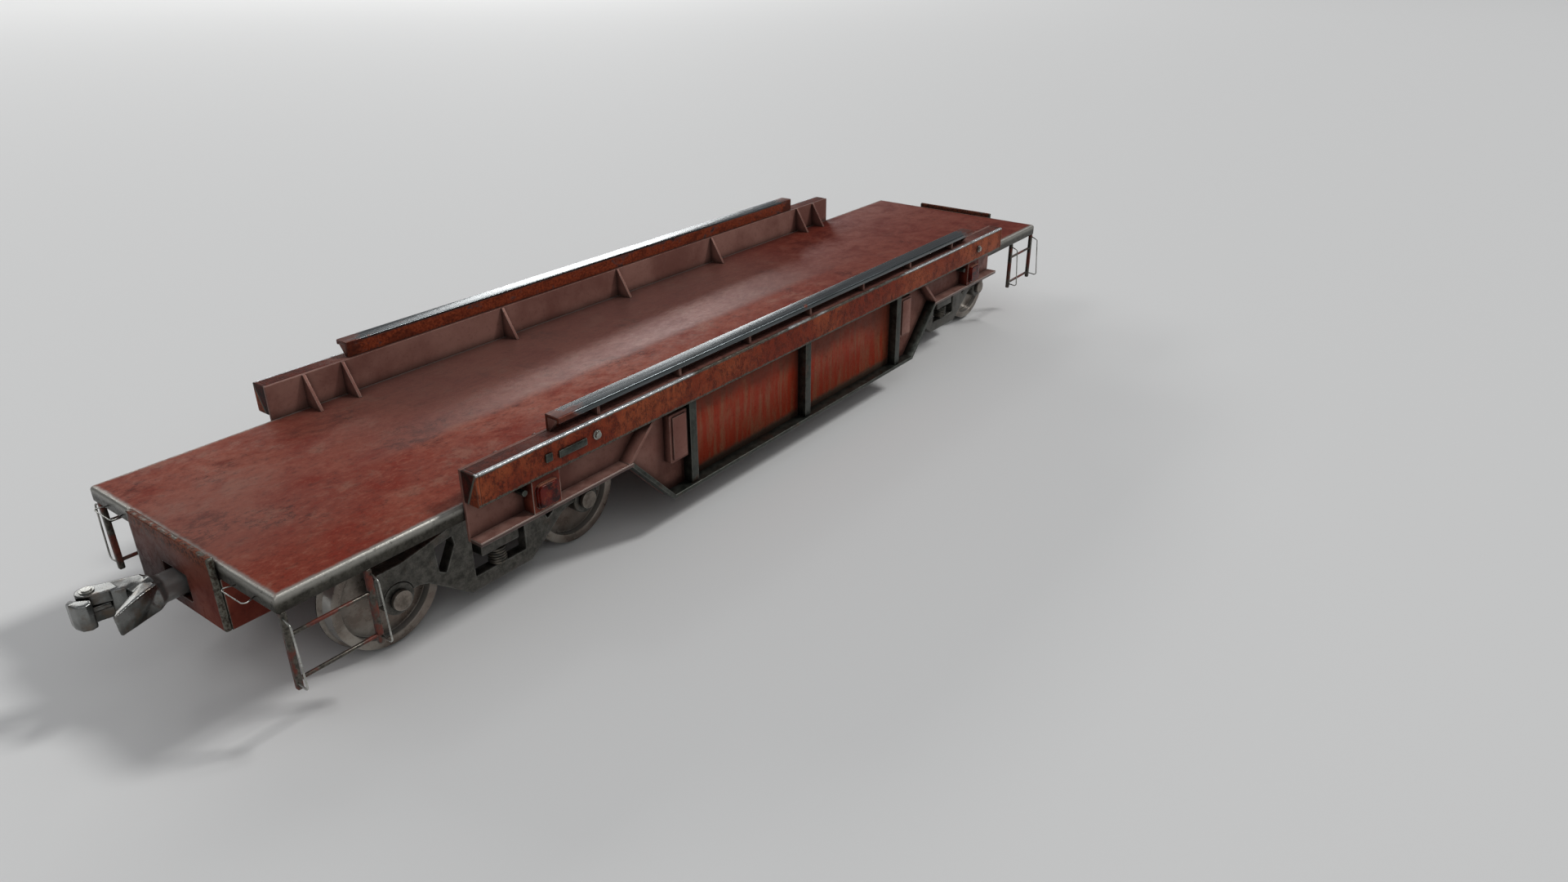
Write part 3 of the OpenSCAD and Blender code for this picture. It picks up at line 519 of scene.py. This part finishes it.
def wheel_steel():
    """Brown-grey plates, with the tread and flange worn bright."""
    f = Finish("wheel_steel")
    cloud = f.noise(7.0, 5, 0.6, seed=81)
    fine = f.noise(0.8, 4, 0.65, seed=82)
    colour = f.mix(f.ease(cloud, 0.34, 0.66), srgb(108, 98, 89), srgb(152, 146, 137))
    brown = f.ease(f.noise(13.0, 4, 0.6, seed=83), 0.46, 0.62)
    colour = f.mix(f.mul(brown, 0.45), colour, srgb(104, 82, 70))
    colour = f.mix(f.mul(f.ease(fine, 0.55, 0.72), 0.35), colour, srgb(78, 70, 62))
    colour = f.mix(f.mul(f.edges(0.8), 0.6), colour, srgb(158, 156, 149))
    radial = f.flip(f.absolute(f.ny))
    tread = f.mul(f.ease(radial, 0.55, 0.9), f.ease(f.absolute(f.y), 20.5, 22.5))
    colour = f.mix(f.mul(tread, 0.7), colour, srgb(164, 164, 160))
    # Painted shade in corners between pieces, from ambient occlusion.
    colour = f.mix(f.mul(f.occlusion_shade(3.0), 0.55), colour, srgb(34, 31, 28))
    rough = f.blend(tread, f.blend(f.ease(cloud, 0.35, 0.65), 0.26, 0.36), 0.2)
    return f.finish(colour, rough, 0.6, [(cloud, 0.04), (fine, 0.015)])


def axle_steel():
    """Dark axle, and bearing caps with a brownish domed middle."""
    f = Finish("axle_steel")
    cloud = f.noise(3.0, 4, 0.6, seed=91)
    fine = f.noise(0.6, 3, 0.6, seed=92)
    colour = f.mix(f.ease(cloud, 0.35, 0.65), srgb(92, 84, 76), srgb(136, 126, 116))
    colour = f.mix(f.mul(f.ease(fine, 0.55, 0.7), 0.3), colour, srgb(66, 58, 52))
    colour = f.mix(f.mul(f.edges(0.5), 0.6), colour, srgb(160, 158, 150))
    # Painted shade in corners between pieces, from ambient occlusion.
    colour = f.mix(f.mul(f.occlusion_shade(2.0), 0.7), colour, srgb(30, 27, 24))
    rough = f.blend(f.ease(cloud, 0.35, 0.65), 0.32, 0.46)
    return f.finish(colour, rough, 0.7, [(cloud, 0.03), (fine, 0.02)])


def bright_steel():
    """Bare steel wires, pins and bolt heads, a little stained."""
    f = Finish("bright_steel")
    cloud = f.noise(4.0, 4, 0.6, seed=101)
    fine = f.noise(0.5, 3, 0.6, seed=102)
    colour = f.mix(f.ease(cloud, 0.35, 0.65), srgb(134, 134, 128), srgb(186, 186, 180))
    colour = f.mix(f.mul(f.ease(fine, 0.56, 0.7), 0.5), colour, srgb(92, 78, 66))
    # Painted shade in corners between pieces, from ambient occlusion.
    colour = f.mix(f.mul(f.occlusion_shade(1.5), 0.5), colour, srgb(52, 46, 40))
    rough = f.blend(f.ease(cloud, 0.35, 0.65), 0.22, 0.38)
    return f.finish(colour, rough, 0.9, [(fine, 0.015)])


def step_paint():
    """Thin red paint on steel bars, mostly gone."""
    f = Finish("step_paint")
    patch = f.noise(4.5, 4, 0.65, stretch=(1.6, 1, 1.6), seed=111)
    fine = f.noise(0.7, 3, 0.6, seed=112)
    steel = f.mix(f.ease(fine, 0.35, 0.65), srgb(58, 55, 50), srgb(92, 88, 80))
    paint = f.mix(f.ease(fine, 0.4, 0.65), srgb(98, 46, 33), srgb(74, 34, 27))
    painted = f.ease(patch, 0.44, 0.54)
    colour = f.mix(painted, steel, paint)
    colour = f.mix(f.mul(f.edges(0.45), 0.5), colour, srgb(130, 130, 122))
    # Painted shade in corners between pieces, from ambient occlusion.
    colour = f.mix(f.mul(f.occlusion_shade(2.0), 0.5), colour, srgb(36, 30, 26))
    rough = f.blend(painted, 0.32, 0.5)
    return f.finish(colour, rough, f.blend(painted, 0.7, 0.1), [(patch, 0.03), (fine, 0.02)], specular=0.3)


def lens_red():
    """A dark red lens in a pale rim."""
    f = Finish("lens_red")
    cloud = f.noise(3.4, 4, 0.6, seed=121, warp=0.4)
    fine = f.noise(0.5, 3, 0.6, seed=122)
    low, high = corners("lamp_lenses")
    up = f.math("SUBTRACT", f.z, (low.z + high.z) / 2)
    colour = f.mix(f.ease(cloud, 0.4, 0.6), srgb(34, 8, 7), srgb(84, 18, 11))
    glow = f.ease(f.noise(1.8, 4, 0.65, seed=123, warp=0.4), 0.52, 0.68)
    colour = f.mix(f.mul(glow, 0.6), colour, srgb(112, 46, 26))
    colour = f.mix(f.mul(f.ease(fine, 0.54, 0.7), 0.4), colour, srgb(26, 10, 8))
    rim = f.ease(f.absolute(up), (high.z - low.z) / 2 - 0.5, (high.z - low.z) / 2 - 0.15)
    colour = f.mix(f.mul(rim, 0.8), colour, srgb(146, 98, 78))
    rough = f.blend(f.ease(fine, 0.4, 0.7), 0.22, 0.36)
    return f.finish(colour, rough, f.mul(rim, 0.5), [(cloud, 0.02)], coat=0.08, coat_rough=0.2, specular=0.15)


def spring_steel():
    """Dark spring wire."""
    f = Finish("spring_steel")
    cloud = f.noise(2.0, 4, 0.6, seed=131)
    colour = f.mix(f.ease(cloud, 0.35, 0.65), srgb(58, 58, 54), srgb(104, 98, 88))
    # Painted shade between the coils, from ambient occlusion.
    colour = f.mix(f.mul(f.occlusion_shade(1.5), 0.7), colour, srgb(20, 18, 16))
    return f.finish(colour, f.blend(f.ease(cloud, 0.4, 0.6), 0.3, 0.45), 0.7, [(cloud, 0.03)])


finishes = {
    "deck": deck_paint(), "girder": girder_paint(), "rusted": rusted_paint(), "end": end_plate_paint(),
    "dark": dark_steel(), "guide": guide_steel(), "coupler": coupler_steel(), "iron": cast_iron(),
    "wheel": wheel_steel(), "axle": axle_steel(), "bright": bright_steel(), "step": step_paint(),
    "lens": lens_red(), "spring": spring_steel(),
}

# Which finish each CAD node gets, and how far its edges are rounded, in mm.
LOOKS = {
    "deck": ("deck", 0.38), "centre_sill": ("girder", 0.2), "cross_bearers": ("girder", 0.15),
    "body_bolsters": ("girder", 0.3), "body_side_bearers": ("iron", 0.15),
    "side_web_left": ("girder", 0.2), "side_web_right": ("girder", 0.2),
    "top_beam_left": ("rusted", 0.35), "top_beam_right": ("rusted", 0.35), "beam_end_caps": ("rusted", 0.3),
    "bottom_flange_left": ("dark", 0.2), "bottom_flange_right": ("dark", 0.2),
    "belly_partitions": ("girder", 0.2), "web_stiffeners": ("dark", 0.35), "deck_gussets": ("girder", 0.12),
    "guide_rail_left": ("guide", 0.22), "guide_rail_right": ("guide", 0.22),
    "guide_brackets": ("girder", 0.12),
    "side_boxes": ("girder", 0.3), "side_box_doors": ("girder", 0.15), "lamp_housings": ("end", 0.4),
    "lamp_lenses": ("lens", 0.45), "lamp_studs": ("dark", 0.2), "beam_bolts": ("bright", 0.3),
    "beam_pads": ("dark", 0.18), "end_plate_front": ("end", 0.5), "end_plate_rear": ("end", 0.5),
    "draft_boxes": ("end", 0.3), "step_posts": ("step", 0.4), "step_rungs": ("step", 0.1),
    "coupler_pivot_pins": ("dark", 0.1), "coupler_spacers": ("iron", 0.1), "centre_plates": ("iron", 0.1),
    "kingpins": ("dark", 0.15), "kingpin_collars": ("iron", 0.15),
}
for end in ENDS:
    LOOKS[f"bolster_{end}"] = ("iron", 0.4)
    LOOKS[f"side_frames_{end}"] = ("iron", 0.4)
    LOOKS[f"bearings_{end}"] = ("iron", 0.4)
    for place in ("outer", "inner"):
        LOOKS[f"axle_{end}_{place}"] = ("axle", 0.45)
        LOOKS[f"wheels_{end}_{place}"] = ("wheel", 0.3)

SHARP = math.radians(32)


def soften(piece, width, flat=False):
    """Rounds a piece's sharp edges and shades its curved faces smoothly. flat joins coplanar faces first."""
    weld = piece.modifiers.new("weld", "WELD")
    weld.merge_threshold = 0.002 * MM
    if flat:
        join_flats = piece.modifiers.new("join_flats", "DECIMATE")
        join_flats.decimate_type = "DISSOLVE"
        join_flats.angle_limit = math.radians(1)
    bevel = piece.modifiers.new("round", "BEVEL")
    bevel.width = width * MM
    bevel.segments = 3
    bevel.limit_method = "ANGLE"
    bevel.angle_limit = SHARP
    bevel.harden_normals = True
    bevel.use_clamp_overlap = True


def set_material(piece, finish):
    """Gives a piece one finish and no other."""
    piece.data.materials.clear()
    piece.data.materials.append(finishes[finish])


for name, (finish, width) in LOOKS.items():
    piece = nodes[name]
    set_material(piece, finish)
    soften(piece, width, flat=name.startswith("side_frames"))
    for poly in piece.data.polygons:
        poly.use_smooth = True


# ---- New pieces

def add_piece(name, verts, faces, stands_for, finish, smooth=True):
    """A new mesh in the row frame, in mm, that stands for CAD nodes and rides on their body."""
    mesh = bpy.data.meshes.new(name)
    mesh.from_pydata([tuple(Vector(v) * MM) for v in verts], [], faces)
    mesh.update()
    piece = bpy.data.objects.new(name, mesh)
    bpy.context.scene.collection.objects.link(piece)
    bm = bmesh.new()
    bm.from_mesh(mesh)
    bmesh.ops.recalc_face_normals(bm, faces=bm.faces)
    bm.to_mesh(mesh)
    bm.free()
    for poly in mesh.polygons:
        poly.use_smooth = smooth
    set_material(piece, finish)
    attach(piece, body_of[stands_for])
    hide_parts(stands_for)
    return piece


def tube(path, radius, sides=10):
    """Vertices and faces of a closed round tube along a path of points."""
    verts, faces = [], []
    path = [Vector(p) for p in path]
    side = None
    for i, p in enumerate(path):
        ahead = (path[min(i + 1, len(path) - 1)] - path[max(i - 1, 0)]).normalized()
        if side is None:
            side = ahead.orthogonal().normalized()
        side = (side - ahead * side.dot(ahead)).normalized()
        other = ahead.cross(side)
        for k in range(sides):
            a = 2 * math.pi * k / sides
            verts.append(p + radius * (math.cos(a) * side + math.sin(a) * other))
    for i in range(len(path) - 1):
        for k in range(sides):
            n = (k + 1) % sides
            faces.append((i * sides + k, i * sides + n, (i + 1) * sides + n, (i + 1) * sides + k))
    faces.append(tuple(range(sides))[::-1])
    faces.append(tuple(range((len(path) - 1) * sides, len(path) * sides)))
    return verts, faces


def join(parts):
    """Several parts' vertices and faces as one."""
    verts, faces = [], []
    for v, fs in parts:
        start = len(verts)
        verts += v
        faces += [tuple(i + start for i in f) for f in fs]
    return verts, faces


def rounded(points, radii, steps=6):
    """A path whose inner corners are turned into arcs of these radii."""
    points = [Vector(p) for p in points]
    out = [points[0]]
    for before, corner, after, radius in zip(points, points[1:], points[2:], radii):
        a = (before - corner).normalized()
        b = (after - corner).normalized()
        angle = a.angle(b)
        reach = radius / math.tan(angle / 2)
        centre = corner + (a + b).normalized() * (radius / math.sin(angle / 2))
        start, stop = corner + a * reach - centre, corner + b * reach - centre
        for i in range(steps + 1):
            out.append(centre + start.slerp(stop, i / steps))
    out.append(points[-1])
    return out


# The step handles' wire and the grab irons' wire: radii, bends and places.
WIRE_R = 0.23
TOP_BEND, FOOT_BEND = 1.7, 0.7
HANDLE_X = (163.1, 184.1)
IRON_R, IRON_BEND = 0.15, 0.2
IRON_Y = 25.3


def wire_pieces():
    """The handles of the corner steps and the grab irons at the deck's corners."""
    low, high = corners("step_handles")
    z0, z1 = low.z + WIRE_R, high.z - WIRE_R
    reach = high.y
    root = corners("step_posts")[1].y
    parts = []
    for sx in (-1, 1):
        for sy in (-1, 1):
            for x in HANDLE_X:
                path = [(root, z1), (reach - WIRE_R, z1), (reach - WIRE_R, z0), (root, z0)]
                path = [(sx * x, sy * y, z) for y, z in path]
                parts.append(tube(rounded(path, (TOP_BEND, FOOT_BEND)), WIRE_R))
    add_piece("handle_wires", *join(parts), "step_handles", "bright")
    low, high = corners("grab_irons")
    face = corners("deck")[1].x
    parts = []
    x1, outer = high.x - IRON_R, high.y - IRON_R
    z = (low.z + high.z) / 2
    for sx in (-1, 1):
        for sy in (-1, 1):
            path = [(face, IRON_Y), (x1, IRON_Y), (x1, outer), (face, outer)]
            path = [(sx * x, sy * y, z) for x, y in path]
            parts.append(tube(rounded(path, (IRON_BEND, IRON_BEND)), IRON_R))
    add_piece("grab_wires", *join(parts), "grab_irons", "bright")


SPRING_TURNS = 6.5
SPRING_WIRE, INNER_WIRE = 0.42, 0.3
INNER_COIL = 0.5  # of the outer coil's radius
FLAT_TURN = 0.75  # at each end of a coil
WIRE_SIDES = 8


def helix(x, y, low, high, radius, wire, turns, steps=28):
    """The centre line of a coil spring with closed, flat ends."""
    path = []
    total = int(turns * steps)
    z0, z1 = low + wire, high - wire
    for i in range(total + 1):
        t = i / total
        rise = min(max((t * turns - FLAT_TURN) / (turns - 2 * FLAT_TURN), 0.0), 1.0)
        a = 2 * math.pi * t * turns
        path.append((x + radius * math.cos(a), y + radius * math.sin(a), z0 + (z1 - z0) * rise))
    return path


def spring_pieces():
    """An outer and an inner coil at each side of each bogie."""
    for end in ENDS:
        low, high = corners(f"springs_{end}")
        radius = (high.x - low.x) / 2
        x = (low.x + high.x) / 2
        coils = (
            (radius - SPRING_WIRE, SPRING_WIRE, SPRING_TURNS),
            (radius * INNER_COIL, INNER_WIRE, SPRING_TURNS + 2),
        )
        parts = []
        for side in (-1, 1):
            y = side * (high.y - radius)
            for coil_radius, wire, turns in coils:
                parts.append(tube(helix(x, y, low.z, high.z, coil_radius, wire, turns), wire, WIRE_SIDES))
        piece = add_piece(f"coil_springs_{end}", *join(parts), f"springs_{end}", "spring")
        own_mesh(piece)


def hull(points):
    """Vertices and faces of the convex hull of some points."""
    bm = bmesh.new()
    for p in points:
        bm.verts.new(p)
    bmesh.ops.convex_hull(bm, input=bm.verts)
    loose = [v for v in bm.verts if not v.link_faces]
    bmesh.ops.delete(bm, geom=loose, context="VERTS")
    bm.verts.index_update()
    verts = [v.co.copy() for v in bm.verts]
    faces = [tuple(v.index for v in f.verts) for f in bm.faces]
    bm.free()
    return verts, faces


def prism(outline, low, high):
    """A convex outline in X and Y raised from low to high."""
    return hull([(x, y, z) for x, y in outline for z in (low, high)])


def unit_circle(sides):
    """Points round a circle of radius 1."""
    return [(math.cos(2 * math.pi * i / sides), math.sin(2 * math.pi * i / sides)) for i in range(sides)]


def round_bar(x0, x1, y, z, r0, r1, sides=24):
    """A bar along X whose radius goes from r0 to r1."""
    ring = unit_circle(sides)
    return hull([(x, y + r * c, z + r * s) for x, r in ((x0, r0), (x1, r1)) for c, s in ring])


def upright(x, y, low, high, r, sides=32):
    """An upright cylinder."""
    return hull([(x + r * c, y + r * s, z) for z in (low, high) for c, s in unit_circle(sides)])


VOXEL = 0.2


def cast(piece, smoothing):
    """Merges overlapping solids into one rounded casting."""
    remesh = piece.modifiers.new("merge", "REMESH")
    remesh.mode = "VOXEL"
    remesh.voxel_size = VOXEL * MM
    remesh.use_smooth_shade = True
    smooth = piece.modifiers.new("soften", "SMOOTH")
    smooth.iterations = smoothing
    smooth.factor = 0.5
    bpy.context.view_layer.update()
    graph = bpy.context.evaluated_depsgraph_get()
    mesh = bpy.data.meshes.new_from_object(piece.evaluated_get(graph))
    piece.modifiers.clear()
    piece.data = mesh
    for poly in mesh.polygons:
        poly.use_smooth = True


def turned(part, s):
    """Part turned half a turn about the vertical for the rear end."""
    verts, faces = part
    return [(s * v[0], s * v[1], v[2]) for v in verts], faces


# Coupler outlines for the front end, X outwards and Y towards the guard arm.
AXIS_Z = 27.5
SHANK_R = 3.45
SHANK_X = (175.0, 191.5)
COLLAR_X = (190.6, 191.9, 193.4)
COLLAR_RISE, COLLAR_END = 0.75, 0.2  # over the shank's radius
EYE_X, EYE_R, EYE_HALF = 178.0, 3.9, 3.2  # round the pivot pin
HEAD_LOW, HEAD_HIGH = 24.0, 31.0
NOSE_LOW, NOSE_HIGH = HEAD_LOW + 0.2, HEAD_HIGH - 0.3
PIN = (202.5, -6.2)
PIN_R, PIN_HEAD_R, PIN_CAP_R = 1.0, 1.5, 1.05
PIN_HEAD_TOP, PIN_CAP_TOP = HEAD_HIGH + 0.25, HEAD_HIGH + 0.6
SEAT = 0.1  # how deep the pin's head sits in the lug
PIN_ROUND = 0.15  # how far the pin's edges are rounded
TONGUE = (26.9, 28.1)
LUG_GAP = 0.08
LUG_R = 2.5
UPPER_LUG = [
    (197.6, -5.9), (198.8, -6.8), (201.6, -8.4), (203.2, -3.8), (201.6, -3.4), (199.4, -2.5), (197.6, -2.4),
]
LOWER_LUG = [
    (197.6, -5.9), (198.8, -6.8), (201.6, -8.4), (203.4, -4.0), (201.6, -4.0), (199.4, -3.0), (197.6, -2.9),
]
# The top of the knuckle's tail falls by TAIL_FALL over TAIL_RUN, from TAIL_Y on.
TAIL_FALL, TAIL_RUN, TAIL_Y = 1.3, 3.6, -4.6
# How far each casting is rounded, in smoothing steps.
HEAD_SMOOTH, LUG_SMOOTH, NOSE_SMOOTH, TONGUE_SMOOTH = 16, 7, 34, 2
HEEL = [
    (199.6, -6.6), (199.6, -2.7), (201.6, -3.3), (203.3, -3.2), (204.4, -3.9), (205.6, -5.2), (205.6, -6.8),
]
NOSE_TAIL = [(205.3, -8.4), (206.2, -8.2), (207.2, -6.4), (207.4, -4.2), (205.45, -5.2), (205.35, -6.8)]
NOSE = [
    (207.4, -4.2), (206.8, -1.8), (205.2, -0.8), (203.7, -1.2), (203.3, -3.0), (204.4, -3.95), (205.45, -5.2),
]
ROOT = [
    (190.8, -2.6, 24.9), (190.8, 2.6, 24.9), (190.8, -2.6, 30.6), (190.8, 2.6, 30.6),
    (192.6, -3.9, 24.3), (192.6, 3.6, 24.3), (192.6, -3.6, 31.2), (192.6, 3.2, 31.2),
    (196.8, -5.9, 24.2), (196.8, 4.3, 24.2), (196.8, -5.9, 30.8), (196.6, 4.2, 30.4),
]
ARM = [
    (192.0, -3.8, 24.2), (198.3, -6.8, 24.0), (199.4, -7.3, 24.0), (199.4, -3.0, 24.0), (196.4, -1.6, 24.0),
    (192.0, -3.8, 31.1), (198.3, -6.8, 31.0), (199.4, -7.3, 31.0), (199.4, -2.3, 30.8), (196.4, -0.7, 30.9),
]
GUARD = [
    (191.6, 3.4, 31.2), (195.2, 4.5, 31.0), (198.6, 5.4, 30.5), (202.7, 6.6, 29.5),
    (203.0, 5.9, 29.3), (202.3, 6.1, 24.0), (202.5, 5.5, 24.2),
    (198.6, 5.0, 24.0), (193.6, 3.2, 24.0), (190.8, 1.8, 24.6),
    (201.8, 4.6, 29.6), (197.6, 2.2, 30.4), (194.0, 0.5, 31.1), (201.6, 4.8, 24.3), (197.4, 2.4, 24.0),
]


def tail_top(y):
    """The height of the top of the knuckle's tail."""
    return NOSE_HIGH - TAIL_FALL * min(max(TAIL_Y - y, 0.0) / TAIL_RUN, 1.0)


def coupler_parts():
    """The solids of the front coupler's casting, its lugs, and its knuckle's nose and tongue."""
    casting = [
        round_bar(*SHANK_X, 0.0, AXIS_Z, SHANK_R, SHANK_R),
        round_bar(*COLLAR_X[:2], 0.0, AXIS_Z, SHANK_R, SHANK_R + COLLAR_RISE),
        round_bar(*COLLAR_X[1:], 0.0, AXIS_Z, SHANK_R + COLLAR_RISE, SHANK_R + COLLAR_END),
        upright(EYE_X, 0.0, AXIS_Z - EYE_HALF, AXIS_Z + EYE_HALF, EYE_R),
        hull(ROOT), hull(ARM), hull(GUARD),
    ]
    lugs = []
    for outline, low, high in (
        (LOWER_LUG, HEAD_LOW, TONGUE[0] - LUG_GAP), (UPPER_LUG, TONGUE[1] + LUG_GAP, HEAD_HIGH),
    ):
        lugs += [upright(*PIN, low, high, LUG_R), prism(outline, low, high)]
    tail = [(x, y, NOSE_LOW) for x, y in NOSE_TAIL] + [(x, y, tail_top(y)) for x, y in NOSE_TAIL]
    nose = [hull(tail), prism(NOSE, NOSE_LOW, NOSE_HIGH)]
    tongue = [upright(*PIN, *TONGUE, LUG_R), prism(HEEL, *TONGUE)]
    return casting, lugs, nose, tongue


def coupler_pieces():
    """Both couplers, as castings, with knuckles that turn between the lugs."""
    casting, lugs, nose, tongue = coupler_parts()
    for end, s in ENDS.items():
        for name, solids, stands_for, smoothing in (
            ("coupler_casting", casting, "coupler", HEAD_SMOOTH),
            ("coupler_lugs", lugs, "coupler", LUG_SMOOTH),
            ("knuckle_casting", nose, "knuckle", NOSE_SMOOTH),
            ("knuckle_tongue", tongue, "knuckle", TONGUE_SMOOTH),
        ):
            solids = [turned(p, s) for p in solids]
            cast(add_piece(f"{name}_{end}", *join(solids), f"{stands_for}_{end}", "coupler"), smoothing)
        foot = corners(f"knuckle_pin_{end}")[0].z
        pin = [
            upright(*PIN, foot, HEAD_HIGH, PIN_R),
            upright(*PIN, HEAD_HIGH - SEAT, PIN_HEAD_TOP, PIN_HEAD_R),
            upright(*PIN, PIN_HEAD_TOP, PIN_CAP_TOP, PIN_CAP_R),
        ]
        pin = [turned(p, s) for p in pin]
        soften(add_piece(f"knuckle_pin_head_{end}", *join(pin), f"knuckle_pin_{end}", "bright"), PIN_ROUND)


wire_pieces()
spring_pieces()
coupler_pieces()

# ---- Floor, light and camera


FLOOR_HALF = 6.0
FLOOR_COLOUR = (0.62, 0.62, 0.61, 1)
FLOOR_ROUGH = 0.85
SKY_TINT = (0.93, 0.95, 1.0, 1)


def make_floor():
    """A plain pale floor at the level of the wheel flanges."""
    mesh = bpy.data.meshes.new("floor")
    ring = [(-1, -1), (1, -1), (1, 1), (-1, 1)]
    mesh.from_pydata([(x * FLOOR_HALF, y * FLOOR_HALF, 0) for x, y in ring], [], [(0, 1, 2, 3)])
    floor = bpy.data.objects.new("floor", mesh)
    bpy.context.scene.collection.objects.link(floor)
    mat = bpy.data.materials.new("floor")
    mat.use_nodes = True
    shader = mat.node_tree.nodes["Principled BSDF"]
    shader.inputs["Base Color"].default_value = FLOOR_COLOUR
    shader.inputs["Roughness"].default_value = FLOOR_ROUGH
    mesh.materials.append(mat)


def area_light(name, place, target, size, power):
    """A rectangular soft light. Places and sizes are in metres, power in watts."""
    data = bpy.data.lights.new(name, "AREA")
    data.shape = "RECTANGLE"
    data.size, data.size_y = size
    data.energy = power
    light = bpy.data.objects.new(name, data)
    light.location = place
    light.rotation_euler = (Vector(target) - Vector(place)).to_track_quat("-Z", "Y").to_euler()
    bpy.context.scene.collection.objects.link(light)


def sun_light(name, azimuth, elevation, power, spread):
    """A soft sun. Its azimuth, from +X towards +Y, and its elevation are in degrees."""
    data = bpy.data.lights.new(name, "SUN")
    data.energy = power
    data.angle = math.radians(spread)
    a, e = math.radians(azimuth), math.radians(elevation)
    away = Vector((math.cos(a) * math.cos(e), math.sin(a) * math.cos(e), math.sin(e)))
    light = bpy.data.objects.new(name, data)
    light.rotation_euler = away.to_track_quat("Z", "Y").to_euler()
    bpy.context.scene.collection.objects.link(light)


def studio_sky(horizon, zenith):
    """A grey sky, brighter overhead."""
    world = bpy.data.worlds.new("studio")
    bpy.context.scene.world = world
    world.use_nodes = True
    tree = world.node_tree
    coord = tree.nodes.new("ShaderNodeTexCoord")
    split = tree.nodes.new("ShaderNodeSeparateXYZ")
    rise = tree.nodes.new("ShaderNodeMapRange")
    tree.links.new(coord.outputs["Generated"], split.inputs[0])
    tree.links.new(split.outputs[2], rise.inputs[0])
    rise.inputs[3].default_value, rise.inputs[4].default_value = horizon, zenith
    background = tree.nodes["Background"]
    background.inputs["Color"].default_value = SKY_TINT
    tree.links.new(rise.outputs[0], background.inputs["Strength"])


make_floor()
studio_sky(0.1, 0.42)
sun_light("key", -38, 46, 1.5, 10)
sun_light("fill", -115, 40, 0.55, 50)
area_light("gloss", (2.55, 2.85, 1.18), (0, 0, 0.04), (1.1, 0.5), 23)
area_light("rim", (0.1, 3.6, 1.75), (-0.12, 0, 0.04), (2.4, 0.5), 26)
area_light("brow", (-1.5, 2.1, 3.05), (-0.1, 0, 0.04), (0.9, 0.6), 5)
bpy.context.scene.view_settings.view_transform = "Standard"

CAMERA_PLACE = (-0.2704, -0.2333, 0.1634)
CAMERA_HEADING, CAMERA_PITCH = 36.237, 25.997
LENS, SENSOR = 24.54, 36
camera_data = bpy.data.cameras.new("camera")
camera_data.lens = LENS
camera_data.sensor_width = SENSOR
camera_data.clip_start = 0.01
camera = bpy.data.objects.new("camera", camera_data)
camera.location = CAMERA_PLACE
camera.rotation_euler = (math.radians(90 - CAMERA_PITCH), 0, math.radians(CAMERA_HEADING - 90))
bpy.context.scene.collection.objects.link(camera)
bpy.context.scene.camera = camera
